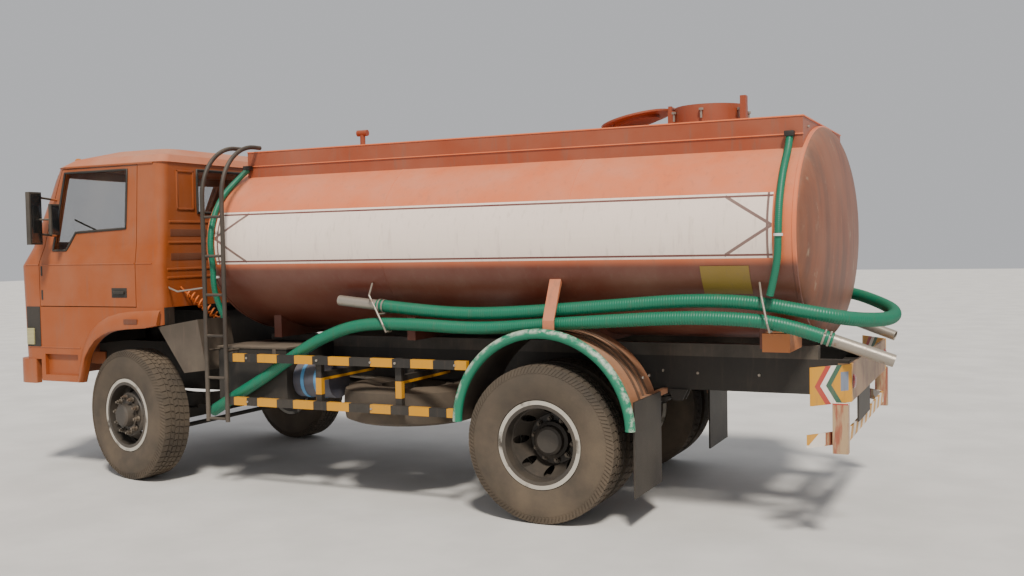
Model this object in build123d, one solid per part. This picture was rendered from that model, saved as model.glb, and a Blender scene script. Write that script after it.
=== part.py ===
"""Two-axle water tanker truck: forward-control cab, ladder frame, oval tank with
a catwalk trough, side guards, hoses laid along the sides. Millimetres, +X forward,
+Y to the left, +Z up, origin on the floor below the middle of the truck.
Heights are above the floor. Where a comment says ahead, a length is measured
forward from the rear axle."""
import math
import os

from build123d import *

# Whole truck
WHEELBASE = 3625
FRONT_OVERHANG = 1355
REAR_REACH = 1940
FRONT_REACH = WHEELBASE + FRONT_OVERHANG
REAR_AXLE_X = (REAR_REACH - FRONT_REACH) / 2
SEAT_GAP = 0.3
RUN_GAP = 0.06

# Wheels
TYRE_RADIUS = 527
TYRE_WIDTH = 280
TREAD_WIDTH = 216
BEAD_RADIUS = 258
FLANGE_RADIUS = 295
RIM_HALF_WIDTH = 119
RIM_WALL = 14
HAND_HOLE_RADIUS = 28
HAND_HOLES = 8
AXLE_HEIGHT = TYRE_RADIUS
TWIN_OFFSET = 155
REAR_PAIR_Y = 925
FRONT_WHEEL_Y = 1020

# Front axle
KINGPIN_Y = 850
KINGPIN_RADIUS = 20
BOSS_RADIUS = 45
BEAM_WIDTH = 90
BEAM_DEPTH = 80
EAR_THICKNESS = 45
EAR_GAP = 6
SPINDLE_RADIUS = 35
REST_STEER_DEG = -12.4
STEER_ARM = 190
TIE_ROD_RADIUS = 18
TIE_PIN_RADIUS = 14

# Frame
RAIL_Y = 430
RAIL_HEIGHT = 230
RAIL_FLANGE = 75
RAIL_WALL = 9
RAIL_TOP = 1060
RAIL_BOTTOM = RAIL_TOP - RAIL_HEIGHT
FRAME_FRONT = FRONT_REACH - 280
FRAME_REAR = -1860
BEARER_HEIGHT = 88
BEARER_TOP = RAIL_TOP + BEARER_HEIGHT
CROSSMEMBERS = (FRAME_FRONT - 140, WHEELBASE - 785, 1680, 300, -820, -1760)
CROSSMEMBER_LOW = RAIL_BOTTOM + RAIL_WALL + 25

# Springs: half length, leaves, camber drop
SPRING_WIDTH = 76
LEAF = 14
FRONT_SPRING_HALF = 700
REAR_SPRING_HALF = 720

# Tank
TANK_HALF_WIDTH = 1120
TANK_HALF_HEIGHT = 720
TANK_BOTTOM = 1165
TANK_MID = TANK_BOTTOM + TANK_HALF_HEIGHT
TANK_TOP = TANK_MID + TANK_HALF_HEIGHT
TANK_REAR = -1645
CAB_REAR = WHEELBASE - 355
TANK_CAB_GAP = 470
TANK_FRONT = CAB_REAR - TANK_CAB_GAP
HEAD_DEPTH = 165
CRADLES = ((TANK_FRONT - 320, 700), (1250, 700), (-180, 600), (-1380, 700))
COAMING_Y = 755
COAMING_TOP = TANK_TOP + 15
COAMING_WALL = 8
COAMING_REAR = TANK_REAR + 8
COAMING_FRONT = TANK_FRONT - 110
MANHOLE_X = -860
MANHOLE_RADIUS = 255
MANHOLE_TOP = TANK_TOP + 195
LID_RADIUS = 262
LID_THICKNESS = 14
LID_PIN_RADIUS = 7
LID_PIN_GAP = 0.3
LID_OPEN_DEG = 192
LID_EAR = 13

# Cab
CAB_BOTTOM = 775
CAB_FLOOR = RAIL_TOP + 20
CAB_WALL = 50
BELT = 1745
GUTTER = 2560
ROOF_TOP = 2700
CAB_HALF_WIDTH = 1150
DOOR_REAR = WHEELBASE - 95
DOOR_FRONT = WHEELBASE + 973
DOOR_BOTTOM = 1408
DOOR_GAP = 7
SCREEN_RAKE_FOOT = 1900

BUMPER_LOW = 752
BUMPER_TOP = 958
BUMPER_REAR = WHEELBASE + 1045
BUMPER_END_GAP = 60
REAR_CORNER = 75
FOOTWELL_REAR = WHEELBASE + 555
FLOOR_PLATE = 30
SEAT_BASE = 1425
ENGINE_TOP = SEAT_BASE - FLOOR_PLATE - 65
SEAT_Y = 620

# Rear fenders
FENDER_CENTRE_Z = 645
FENDER_RADIUS = 618
FENDER_INNER_Y = 620
FENDER_OUTER_Y = 1200
FENDER_SKIN = 6
TRIM_RADIUS = 33

# Rear beam
BEAM_LOW = 862

# Side equipment
BOX_OUTER_Y = 1045
BOX_TOP = 1100
GUARD_INNER_Y = 1150
GUARD_OUTER_Y = 1190
LADDER_Y = 1195
LADDER_X = (TANK_FRONT - 22, TANK_FRONT - 210)
LADDER_RADIUS = 17
LADDER_BEND = 400
RUNG_RADIUS = 11
RUNGS = (562, 874, 1195, 1507, 1803, 2100)

SPARE_AT = (1300, 590)
AIR_TANK_Y = 850
AIR_TANK_REAR = SPARE_AT[0] + 500
AIR_TANK_LENGTH = 330
AIR_TANK_FRONT = AIR_TANK_REAR + AIR_TANK_LENGTH
BOX_END_GAP = 10
# Posts of the side guards: the front one just behind the air tank, clear of both side boxes
GUARD_POSTS_X = (AIR_TANK_REAR - 24 - SEAT_GAP, 1095)
GUARD_LOW = 672
GUARD_TOP = 1063
SILENCER_REAR = 800
SILENCER_FRONT = 1400
SILENCER_PIPE_BEND = SILENCER_FRONT + 400
FUEL_BOX_REAR = SILENCER_PIPE_BEND + 30

# Hoses: routes as (x ahead, y, z), left side; the long one goes round the back
HOSE_RADIUS = 45
HOOK_RADIUS = 7
HOOK_TOP = 1585
PIPE_RADIUS = 38
LOW_PIPE_REACH = 365
LONG_HOSE_SIDE = (
    (1316, 1045, 1431), (968, 1046, 1396), (560, 1048, 1374), (60, 1048, 1398), (-480, 1047, 1440),
    (-1000, 1045, 1480), (-1400, 1042, 1466), (-1720, 1020, 1408))
LONG_HOSE_BACK = (
    (-1945, 880, 1358), (-2070, 610, 1338), (-2105, 300, 1330), (-2095, -40, 1332), (-2040, -380, 1346),
    (-1915, -710, 1374), (-1705, -975, 1428))
LOW_HOSE = (
    (2815, 1100, 600), (2590, 1100, 726), (2320, 1100, 868), (2040, 1100, 1046), (1760, 1100, 1196),
    (1440, 1098, 1300), (1000, 1094, 1302), (480, 1090, 1276), (0, 1090, 1312), (-500, 1090, 1346),
    (-950, 1090, 1372), (-1300, 1084, 1368), (-1590, 1058, 1336), (-1850, 1020, 1244))
RIGHT_HOSE_END = ((-1300, 1084, 1358), (-1480, 1062, 1290), (-1660, 1030, 1226))
DRAIN_RADIUS = 17
REAR_DRAIN_X = -1560
FRONT_DRAIN_X = TANK_FRONT - 45


def ahead(x):
    """Model x of a place that lies x forward of the rear axle."""
    return REAR_AXLE_X + x


def spot(x, y, z):
    return Vector(ahead(x), y, z)


def block(x0, x1, y0, y1, z0, z1):
    """Box between two corners, x ahead of the rear axle."""
    middle = Pos(ahead((x0 + x1) / 2), (y0 + y1) / 2, (z0 + z1) / 2)
    return middle * Box(x1 - x0, y1 - y0, z1 - z0)


def rod(start, end, radius):
    """Round bar between two points given as (x ahead, y, z)."""
    a = spot(*start)
    b = spot(*end)
    return Solid.make_cylinder(radius, (b - a).length, Plane(origin=a, z_dir=b - a))


def side_plate(points, y0, y1):
    """Plate cut to a side outline of (x ahead, z) points, between two y values."""
    outline = Polyline([(ahead(x), z) for x, z in points], close=True)
    return extrude(Plane.XZ.offset(-y1) * make_face(outline), amount=y1 - y0)


def cross_plate(points, x0, x1):
    """Plate cut to an outline of (y, z) points seen along the truck."""
    outline = Polyline(list(points), close=True)
    return extrude(Plane.YZ.offset(ahead(x0)) * make_face(outline), amount=x1 - x0)


def arc_band(centre, radii, angles, y0, y1):
    """Band between two arcs of one centre (x ahead, z), seen from the side."""
    place = (ahead(centre[0]), centre[1])
    size = angles[1] - angles[0]
    inner = CenterArc(place, radii[0], angles[0], size)
    outer = CenterArc(place, radii[1], angles[0], size)
    edges = [inner, outer, Line(inner @ 0, outer @ 0), Line(inner @ 1, outer @ 1)]
    return extrude(Plane.XZ.offset(-y1) * make_face(edges), amount=y1 - y0)


def both_sides(shape):
    """The shape and its mirror image on the other side of the truck."""
    return [shape, mirror(shape, Plane.XZ)]


def fuse(pieces):
    whole = pieces[0]
    for piece in pieces[1:]:
        whole = whole + piece
    return whole


def turned(profile_edges):
    """Ring turned about the Y axis from edges in the (y, radius) plane."""
    return revolve(Plane.YZ * make_face(profile_edges), Axis.Y)


def turned_points(points):
    return turned(Polyline(list(points), close=True))


def tyre():
    """One tyre about the origin, its axle along Y."""
    flange = RIM_HALF_WIDTH - RIM_WALL - SEAT_GAP
    bead = BEAD_RADIUS + SEAT_GAP
    half = TYRE_WIDTH / 2
    tread = TREAD_WIDTH / 2
    shoulder = TYRE_RADIUS - 12
    belly = (FLANGE_RADIUS + shoulder) / 2 - 15
    rim_edge = RIM_HALF_WIDTH + SEAT_GAP
    lip = FLANGE_RADIUS + 3

    def side(sign):
        foot = Polyline((sign * flange, bead), (sign * flange, lip), (sign * rim_edge, lip + 3))
        wall = ThreePointArc(foot @ 1, (sign * half, belly), (sign * (tread + 10), shoulder - 26))
        crest = Line(wall @ 1, (sign * tread, shoulder))
        return foot, wall, crest

    left = side(1)
    right = side(-1)
    crown = ThreePointArc(left[2] @ 1, (0, TYRE_RADIUS), right[2] @ 1)
    base = Line(left[0] @ 0, right[0] @ 0)
    return turned([*left, *right, crown, base])


def rim(dish, sign):
    """Rim with its disc. dish is the y of the disc's flat, sign its outer side."""
    inner = BEAD_RADIUS - RIM_WALL
    edge = RIM_HALF_WIDTH
    barrel = turned_points([
        (-edge, FLANGE_RADIUS), (-edge + RIM_WALL, FLANGE_RADIUS), (-edge + RIM_WALL, BEAD_RADIUS),
        (edge - RIM_WALL, BEAD_RADIUS), (edge - RIM_WALL, FLANGE_RADIUS), (edge, FLANGE_RADIUS),
        (edge, inner), (-edge, inner)])
    root = sign * 20
    plate = 12 * sign
    disc = turned_points([
        (root, inner + 1), (root - plate, inner + 1), (root - plate, inner - 14), (dish - plate, 168),
        (dish - plate, 60), (dish, 60), (dish, 170), (root, inner - 12)])
    holes = [
        Rot(0, 360 / HAND_HOLES * i, 0) * Pos((0, 0, 206)) * Rot(90, 0, 0)
        * Cylinder(HAND_HOLE_RADIUS, 2 * TYRE_WIDTH) for i in range(HAND_HOLES)]
    return barrel + (disc - holes)


def front_rim():
    """Front rim, bulging disc and hub, with the spindle's bore open inwards."""
    dish = 92
    hub = turned_points([
        (-40, SPINDLE_RADIUS + RUN_GAP), (-40, 105), (dish - 12, 118), (dish + 14, 118), (dish + 14, 98),
        (160, 88), (172, 74), (172, 0), (120, 0), (120, SPINDLE_RADIUS + RUN_GAP)])
    return rim(dish, 1) + hub


def rear_rims():
    """The two rims of a twin wheel, face to face, with their hub and axle end."""
    outer = Pos((0, TWIN_OFFSET, 0)) * rim(12 - TWIN_OFFSET, 1)
    inner = Pos((0, -TWIN_OFFSET, 0)) * rim(TWIN_OFFSET - 12, -1)
    hub = turned_points([
        (-190, 52 + RUN_GAP), (-190, 125), (70, 125), (82, 104), (112, 96), (124, 78), (124, 0),
        (100, 0), (100, 52 + RUN_GAP)])
    return outer + inner + hub


def knuckle():
    """Left steering knuckle: fork about the kingpin, spindle and steering arm."""
    x = WHEELBASE
    top = AXLE_HEIGHT + BEAM_DEPTH / 2 + 20 + EAR_GAP
    low = AXLE_HEIGHT - BEAM_DEPTH / 2 - 20 - EAR_GAP
    out = KINGPIN_Y + BOSS_RADIUS + EAR_GAP
    pieces = []
    for z in (top, low - EAR_THICKNESS):
        ear = Pos(ahead(x), KINGPIN_Y, z + EAR_THICKNESS / 2) * Cylinder(BOSS_RADIUS, EAR_THICKNESS)
        pieces.append(ear + block(x - 45, x + 45, KINGPIN_Y, out + 26, z, z + EAR_THICKNESS))
    pieces.append(block(x - 45, x + 45, out, out + 32, low - EAR_THICKNESS, top + EAR_THICKNESS))
    pieces.append(rod((x, out + 20, AXLE_HEIGHT), (x, FRONT_WHEEL_Y + 112, AXLE_HEIGHT), SPINDLE_RADIUS))
    pieces.append(rod((x, out + 20, AXLE_HEIGHT), (x, out + 30, AXLE_HEIGHT), 195))
    arm_low = low - EAR_THICKNESS
    pieces.append(block(x - STEER_ARM, x - 30, KINGPIN_Y - 26, KINGPIN_Y + 26, arm_low, arm_low + 26))
    pieces.append(rod((x - STEER_ARM, KINGPIN_Y, arm_low), (x - STEER_ARM, KINGPIN_Y, arm_low + 26), 30))
    pieces.append(rod((x - STEER_ARM, KINGPIN_Y, arm_low - 42), (x - STEER_ARM, KINGPIN_Y, arm_low + 10),
                      TIE_PIN_RADIUS))
    bore = rod((x, KINGPIN_Y, 0), (x, KINGPIN_Y, 1500), KINGPIN_RADIUS + RUN_GAP)
    return fuse(pieces) - bore


def tie_pin(side):
    """Centre of the tie rod's pin at rest, as (x ahead, y)."""
    turn = math.radians(REST_STEER_DEG)
    x = WHEELBASE - STEER_ARM * math.cos(turn)
    y = side * KINGPIN_Y - STEER_ARM * math.sin(turn)
    return x, y


def tie_rod():
    """Bar between the two steering arms, an eye at each end below the arm."""
    low = AXLE_HEIGHT - BEAM_DEPTH / 2 - 20 - EAR_GAP - EAR_THICKNESS
    z = low - 23
    pieces = []
    bores = []
    for side in (1, -1):
        x, y = tie_pin(side)
        pieces.append(rod((x, y, z - 16), (x, y, z + 16), 32))
        bores.append(rod((x, y, z - 60), (x, y, z + 60), TIE_PIN_RADIUS + RUN_GAP))
    (x0, y0), (x1, y1) = tie_pin(1), tie_pin(-1)
    bar = rod((x0, y0 - 20, z), (x1, y1 + 20, z), TIE_ROD_RADIUS)
    return fuse([bar, *pieces]) - bores


def axle_beam():
    """Forged front beam, dropped between its ends, with the kingpins."""
    x = WHEELBASE
    low = AXLE_HEIGHT - BEAM_DEPTH / 2
    drop = 70
    half = [(0, low - drop), (520, low - drop), (690, low), (KINGPIN_Y, low),
            (KINGPIN_Y, low + BEAM_DEPTH), (660, low + BEAM_DEPTH), (500, low + BEAM_DEPTH - drop),
            (0, low + BEAM_DEPTH - drop)]
    beam = cross_plate(half, x - BEAM_WIDTH / 2, x + BEAM_WIDTH / 2)
    boss = rod((x, KINGPIN_Y, low - 20), (x, KINGPIN_Y, low + BEAM_DEPTH + 20), BOSS_RADIUS)
    pin_reach = 20 + EAR_GAP + EAR_THICKNESS
    pin = rod((x, KINGPIN_Y, low - pin_reach + 2), (x, KINGPIN_Y, low + BEAM_DEPTH + pin_reach + 8),
              KINGPIN_RADIUS)
    seat = block(x - 55, x + 55, RAIL_Y - RAIL_FLANGE, RAIL_Y, low, low + BEAM_DEPTH - drop + 24)
    one = fuse([beam, boss, pin, seat])
    return one + mirror(one, Plane.XZ)


def spring_pack(centre_x, seat_z, half, leaves):
    """Leaf pack on the left rail: arcs of one centre, each leaf shorter downwards."""
    rise = RAIL_BOTTOM - 45 - (seat_z + leaves * LEAF)
    radius = (half * half + rise * rise) / (2 * rise)
    y0 = RAIL_Y - RAIL_FLANGE / 2 - SPRING_WIDTH / 2
    centre = (centre_x, seat_z + leaves * LEAF + radius)
    pieces = []
    for i in range(leaves):
        reach = half * (1 - 0.82 * i / leaves)
        spread = math.degrees(math.asin(reach / radius))
        radii = (radius + i * LEAF, radius + (i + 1) * LEAF)
        pieces.append(arc_band(centre, radii, (270 - spread, 270 + spread), y0, y0 + SPRING_WIDTH))
    for end in (-1, 1):
        eye = (centre_x + end * half, seat_z + leaves * LEAF + rise)
        pieces.append(rod((eye[0], y0, eye[1]), (eye[0], y0 + SPRING_WIDTH, eye[1]), 26))
    return fuse(pieces)


def spring_brackets(centre_x, half):
    """Hanger castings between the rail and the two spring eyes, left side."""
    y0 = RAIL_Y - RAIL_FLANGE / 2 - SPRING_WIDTH / 2
    pieces = []
    for end in (-1, 1):
        x = centre_x + end * half
        for y in (y0 - 14, y0 + SPRING_WIDTH + SEAT_GAP):
            ear = side_plate([(x - 70, RAIL_BOTTOM), (x + 70, RAIL_BOTTOM), (x + 32, RAIL_BOTTOM - 80),
                              (x - 32, RAIL_BOTTOM - 80)], y, y + 14 - SEAT_GAP)
            pieces.append(ear)
    return pieces


def rear_axle():
    """Axle tube, round differential housing with its nose, brake back plates."""
    tube = rod((0, -722, AXLE_HEIGHT), (0, 722, AXLE_HEIGHT), 68)
    ends = rod((0, -1020, AXLE_HEIGHT), (0, 1020, AXLE_HEIGHT), 52)
    housing = rod((-120, 0, AXLE_HEIGHT), (110, 0, AXLE_HEIGHT), 205)
    cover = rod((-165, 0, AXLE_HEIGHT), (-120, 0, AXLE_HEIGHT), 150)
    nose = rod((100, 0, AXLE_HEIGHT + 10), (330, 0, AXLE_HEIGHT + 30), 85)
    plates = both_sides(rod((0, 690, AXLE_HEIGHT), (0, 704, AXLE_HEIGHT), 200))
    seats = both_sides(block(-60, 60, RAIL_Y - RAIL_FLANGE, RAIL_Y, AXLE_HEIGHT, AXLE_HEIGHT + 90))
    return fuse([tube, ends, housing, cover, nose, *plates, *seats])


def frame_rails():
    """Two channel rails, their open sides facing each other."""
    inner = RAIL_Y - RAIL_FLANGE
    web = RAIL_Y - RAIL_WALL
    section = [(inner, RAIL_BOTTOM), (RAIL_Y, RAIL_BOTTOM), (RAIL_Y, RAIL_TOP), (inner, RAIL_TOP),
               (inner, RAIL_TOP - RAIL_WALL), (web, RAIL_TOP - RAIL_WALL),
               (web, RAIL_BOTTOM + RAIL_WALL), (inner, RAIL_BOTTOM + RAIL_WALL)]
    return both_sides(cross_plate(section, FRAME_REAR, FRAME_FRONT))


def crossmembers():
    web = RAIL_Y - RAIL_WALL - SEAT_GAP
    low = CROSSMEMBER_LOW
    return [block(x - 45, x + 45, -web, web, low, low + 130) for x in CROSSMEMBERS]


def tank_body():
    """Oval barrel of the tank."""
    halves = [EllipticalCenterArc((0, TANK_MID), TANK_HALF_WIDTH, TANK_HALF_HEIGHT, start_angle=angle,
                                  arc_size=180) for angle in (0, 180)]
    face = Plane.YZ.offset(ahead(TANK_REAR)) * make_face(halves)
    well = rod((MANHOLE_X, 0, TANK_TOP - 320), (MANHOLE_X, 0, TANK_TOP + 50), MANHOLE_RADIUS + SEAT_GAP)
    return extrude(face, amount=TANK_FRONT - TANK_REAR) - well


def tank_heads():
    """Shallow dished ends."""
    ball = scale(Sphere(1), by=(HEAD_DEPTH, TANK_HALF_WIDTH, TANK_HALF_HEIGHT))
    keep = Box(2 * HEAD_DEPTH, 3 * TANK_HALF_WIDTH, 3 * TANK_HALF_HEIGHT)
    rear = ball & (Pos((-HEAD_DEPTH, 0, 0)) * keep)
    front = ball & (Pos((HEAD_DEPTH, 0, 0)) * keep)
    return [Pos(ahead(TANK_REAR), 0, TANK_MID) * rear, Pos(ahead(TANK_FRONT), 0, TANK_MID) * front]


def tank_bearers():
    """Long bearers on the rails and cradles cut to the barrel."""
    pieces = both_sides(block(TANK_REAR - 20, TANK_FRONT - 40, RAIL_Y - 80, RAIL_Y, RAIL_TOP, BEARER_TOP))
    barrel = tank_body()
    for x, half in CRADLES:
        cradle = block(x - 35, x + 35, -half, half, BEARER_TOP, TANK_BOTTOM + 170)
        pieces.append(cradle - barrel)
    return pieces


def coaming():
    """Trough walls standing on the tank's crown."""
    low = TANK_MID + 300
    outer = block(COAMING_REAR, COAMING_FRONT, -COAMING_Y, COAMING_Y, low, COAMING_TOP)
    wall = COAMING_WALL
    inner = block(COAMING_REAR + wall, COAMING_FRONT - wall, -COAMING_Y + wall, COAMING_Y - wall,
                  low - 10, COAMING_TOP + 10)
    return outer - inner - tank_body()


def manhole():
    """Open collar over the filling hole, its hinge block and a vent forward."""
    x = MANHOLE_X
    base = TANK_TOP - 60
    collar = rod((x, 0, base), (x, 0, MANHOLE_TOP), MANHOLE_RADIUS)
    hole = rod((x, 0, base - 5), (x, 0, MANHOLE_TOP + 5), MANHOLE_RADIUS - 12)
    hinge_x, hinge_z = lid_hinge()
    shelf_top = MANHOLE_TOP - 16
    shelf = block(x + MANHOLE_RADIUS - 8, hinge_x + 16, -70, 70, TANK_TOP + 60, shelf_top)
    ears = [block(hinge_x - LID_EAR, hinge_x + LID_EAR, y0, y0 + 20, shelf_top - 4, hinge_z + LID_EAR)
            for y0 in (-70, 50)]
    post = block(x - 300, x - 260, 170, 230, TANK_TOP - 60, MANHOLE_TOP + 40)
    vent_x = TANK_FRONT - 702
    vent = rod((vent_x, 0, TANK_TOP - 10), (vent_x, 0, MANHOLE_TOP), 22)
    vent = vent + rod((vent_x - 48, 0, MANHOLE_TOP), (vent_x + 48, 0, MANHOLE_TOP), 26)
    pin = rod((hinge_x, -70, hinge_z), (hinge_x, 70, hinge_z), LID_PIN_RADIUS)
    ring = fuse([collar, shelf, *ears, pin]) - hole
    barrel = tank_body()
    return [ring, post - barrel, vent - barrel]


def lid_hinge():
    return MANHOLE_X + MANHOLE_RADIUS + 30, MANHOLE_TOP + 8


def manhole_lid():
    """Lid built shut over the collar, then swung open to lie forward."""
    hx, hz = lid_hinge()
    x = MANHOLE_X
    low = MANHOLE_TOP + 1
    disc = rod((x, 0, low), (x, 0, low + LID_THICKNESS), LID_RADIUS)
    crown = rod((x, 0, low + LID_THICKNESS), (x, 0, low + LID_THICKNESS + 22), LID_RADIUS - 90)
    tongue = block(x + LID_RADIUS - 60, hx, -45, 45, low, low + LID_THICKNESS)
    barrel = rod((hx, -48, hz), (hx, 48, hz), 14)
    bore = rod((hx, -60, hz), (hx, 60, hz), LID_PIN_RADIUS + LID_PIN_GAP)
    lid = fuse([disc, crown, tongue, barrel]) - bore
    pivot = Pos(ahead(hx), 0, hz)
    return pivot * Rot(0, LID_OPEN_DEG, 0) * pivot.inverse() * lid


def cab_outline(half, front, corner, rear, bulge, rear_corner):
    """Plan of the cab at one height: straight sides, round corners, bowed front."""
    flat = front - bulge
    turn = corner * (1 - math.sqrt(0.5))
    ends = []
    for s in (1, -1):
        start = (ahead(flat - corner), s * half)
        middle = (ahead(flat - turn), s * (half - turn))
        end = (ahead(flat), s * (half - corner))
        ends.append((start, middle, end))
    left, right = ends
    turn = rear_corner * (1 - math.sqrt(0.5))
    backs = []
    for s in (1, -1):
        side = (ahead(rear + rear_corner), s * half)
        middle = (ahead(rear + turn), s * (half - turn))
        behind = (ahead(rear), s * (half - rear_corner))
        backs.append((side, middle, behind))
    back_left, back_right = backs
    edges = [ThreePointArc(*left), ThreePointArc(left[2], (ahead(front), 0), right[2]),
             ThreePointArc(right[2], right[1], right[0]), Line(right[0], back_right[0]),
             ThreePointArc(*back_right), Line(back_right[2], back_left[2]),
             ThreePointArc(back_left[2], back_left[1], back_left[0]), Line(back_left[0], left[0])]
    return make_face(edges)


# Cab sections: height, half width, front, corner radius
CAB_SECTIONS = (
    (CAB_BOTTOM, CAB_HALF_WIDTH, FRONT_REACH - 75, 140),
    (BELT, CAB_HALF_WIDTH, FRONT_REACH - 45, 140),
    (SCREEN_RAKE_FOOT, CAB_HALF_WIDTH - 22, FRONT_REACH - 90, 240),
    (GUTTER, CAB_HALF_WIDTH - 60, FRONT_REACH - 370, 290),
)
# Roof sections: height, half width, front, corner radius, rear
ROOF_SECTIONS = (
    (GUTTER, CAB_HALF_WIDTH - 52, FRONT_REACH - 358, 300, CAB_REAR - 12),
    (GUTTER + 62, CAB_HALF_WIDTH - 110, FRONT_REACH - 480, 300, CAB_REAR + 30),
    (ROOF_TOP - 20, CAB_HALF_WIDTH - 260, FRONT_REACH - 770, 320, CAB_REAR + 130),
    (ROOF_TOP, CAB_HALF_WIDTH - 480, FRONT_REACH - 1020, 240, CAB_REAR + 260),
)
FRONT_BULGE = 55


def cab_block(inset):
    """Solid of the cab below the gutter, drawn in by inset on every side."""
    faces = []
    for z, half, front, corner in CAB_SECTIONS:
        face = cab_outline(half - inset, front - inset, corner - inset / 2, CAB_REAR + inset, FRONT_BULGE,
                           REAR_CORNER - inset)
        faces.append(Pos(0, 0, z) * face)
    return loft(faces, ruled=True)


def roof_block(inset):
    faces = []
    for z, half, front, corner, rear in ROOF_SECTIONS:
        face = cab_outline(half - inset, front - inset, corner - inset / 2, rear + inset, FRONT_BULGE,
                           REAR_CORNER - inset)
        faces.append(Pos(0, 0, z - inset) * face)
    return loft(faces, ruled=True)


def door_outline(gap):
    """Side outline of the left door, grown by gap."""
    top = GUTTER - 22 + gap
    front = DOOR_FRONT + gap
    return [(DOOR_REAR - gap, DOOR_BOTTOM - gap), (front, DOOR_BOTTOM - gap), (front, BELT + 30),
            (front - 53, SCREEN_RAKE_FOOT + 15), (front - 225, top), (DOOR_REAR - gap, top)]


# Door window: x from the door's rear edge, height over the belt
WINDOW = [(DOOR_REAR + x, BELT + z) for x, z in (
    (112, 292), (662, 270), (768, 125), (920, 125), (795, GUTTER - BELT - 50), (104, GUTTER - BELT - 50))]


def arch_cut():
    """Space of the front wheel arch through both sides."""
    x = ahead(WHEELBASE)
    crown = DOOR_BOTTOM - 170
    foot = (x + 520, CAB_BOTTOM)
    shoulder = (x + 450, 990)
    rear = (x - 520, crown + 55)
    edges = [Line((x + 520, 0), foot), Line(foot, shoulder),
             ThreePointArc(shoulder, (x + 335, 1130), (x + 175, crown - 33)),
             ThreePointArc((x + 175, crown - 33), (x - 20, crown - 10), (x - 200, crown)),
             Line((x - 200, crown), rear), Line(rear, (x - 520, 0)), Line((x - 520, 0), (x + 520, 0))]
    return extrude(Plane.XZ.offset(-2000) * make_face(edges), amount=4000)


def cab_parts():
    """Panels of the cab: front, lower sides, rear, roof, floor, doors, glass."""
    outer = cab_block(0)
    inner = cab_block(CAB_WALL)
    shell = outer - inner
    far = 3000
    nose = FRONT_REACH + far
    split = WHEELBASE + 375
    sill = DOOR_BOTTOM - DOOR_GAP
    arch = arch_cut()
    door_space = side_plate(door_outline(DOOR_GAP), -far, far)
    door_slab = side_plate(door_outline(0), -far, far)
    window = side_plate(WINDOW, -far, far)
    below = block(0, nose, -far, far, 0, sill)
    above = block(0, nose, -far, far, sill, far)
    front_zone = block(split, nose, -far, far, 0, far)
    rear_zone = block(0, split, -far, far, 0, far)
    skirt = (shell & below) - arch - block(0, split - 100, -1000, 1000, 0, far)
    lower_front = BUMPER_REAR - BUMPER_END_GAP
    skirt = skirt - block(lower_front, nose, -far, far, 0, BUMPER_TOP + SEAT_GAP)
    step = block(WHEELBASE + 562, lower_front - 46, CAB_HALF_WIDTH - 36, far, CAB_BOTTOM + 53,
                 CAB_BOTTOM + 229)
    skirt = skirt - step - mirror(step, Plane.XZ)
    upper = (shell & above) - door_space
    front = upper & front_zone
    rear = upper & rear_zone
    screen_rear = split + 300
    screen_low = SCREEN_RAKE_FOOT + 45
    screen_high = GUTTER - 70
    screen_half = CAB_HALF_WIDTH - 190
    pane_low = GUTTER - 390
    pane_high = GUTTER - 60
    pane_half = CAB_HALF_WIDTH - 460
    screen_hole = block(screen_rear, nose, -screen_half, screen_half, screen_low, screen_high)
    rear_hole = block(CAB_REAR - 70, CAB_REAR + 130, -pane_half, pane_half, pane_low, pane_high)
    doors = ((shell & above) & door_slab) - window
    left_side = block(0, nose, 0, far, 0, far)
    right_side = block(0, nose, -far, 0, 0, far)
    mid_out = cab_block(CAB_WALL / 2 - 4)
    mid_in = cab_block(CAB_WALL / 2 + 4)
    pane = mid_out - mid_in
    gap = SEAT_GAP
    screen = pane & block(screen_rear, nose, gap - screen_half, screen_half - gap, screen_low + gap,
                          screen_high - gap)
    roof = roof_block(0) - roof_block(40)
    back_pane = block(CAB_REAR + 20, CAB_REAR + 28, gap - pane_half, pane_half - gap, pane_low + gap,
                      pane_high - gap)
    glass = side_plate(WINDOW, -far, far) & pane
    room = cab_block(CAB_WALL + SEAT_GAP)
    plate = FLOOR_PLATE
    cover_front = FOOTWELL_REAR + 380
    cover_half = RAIL_Y - 10
    footwell = block(FOOTWELL_REAR, nose, -far, far, CAB_FLOOR, CAB_FLOOR + plate)
    riser = block(FOOTWELL_REAR, FOOTWELL_REAR + plate, -far, far, CAB_FLOOR, SEAT_BASE)
    platform = block(CAB_REAR, FOOTWELL_REAR + plate, -far, far, SEAT_BASE - plate, SEAT_BASE)
    cover = block(FOOTWELL_REAR, cover_front, -cover_half, cover_half, CAB_FLOOR, SEAT_BASE)
    under = block(0, cover_front - plate, plate - cover_half, cover_half - plate, 0, SEAT_BASE - plate)
    floor = (fuse([footwell, riser, platform, cover]) - under) & room
    return {
        "cab_front": front - screen_hole,
        "cab_lower_sides": skirt,
        "cab_rear": rear - rear_hole,
        "cab_roof": roof,
        "cab_floor": floor,
        "door_left": doors & left_side,
        "door_right": doors & right_side,
        "windscreen": screen,
        "rear_window": back_pane,
        "door_glass_left": glass & left_side,
        "door_glass_right": glass & right_side,
    }


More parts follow.
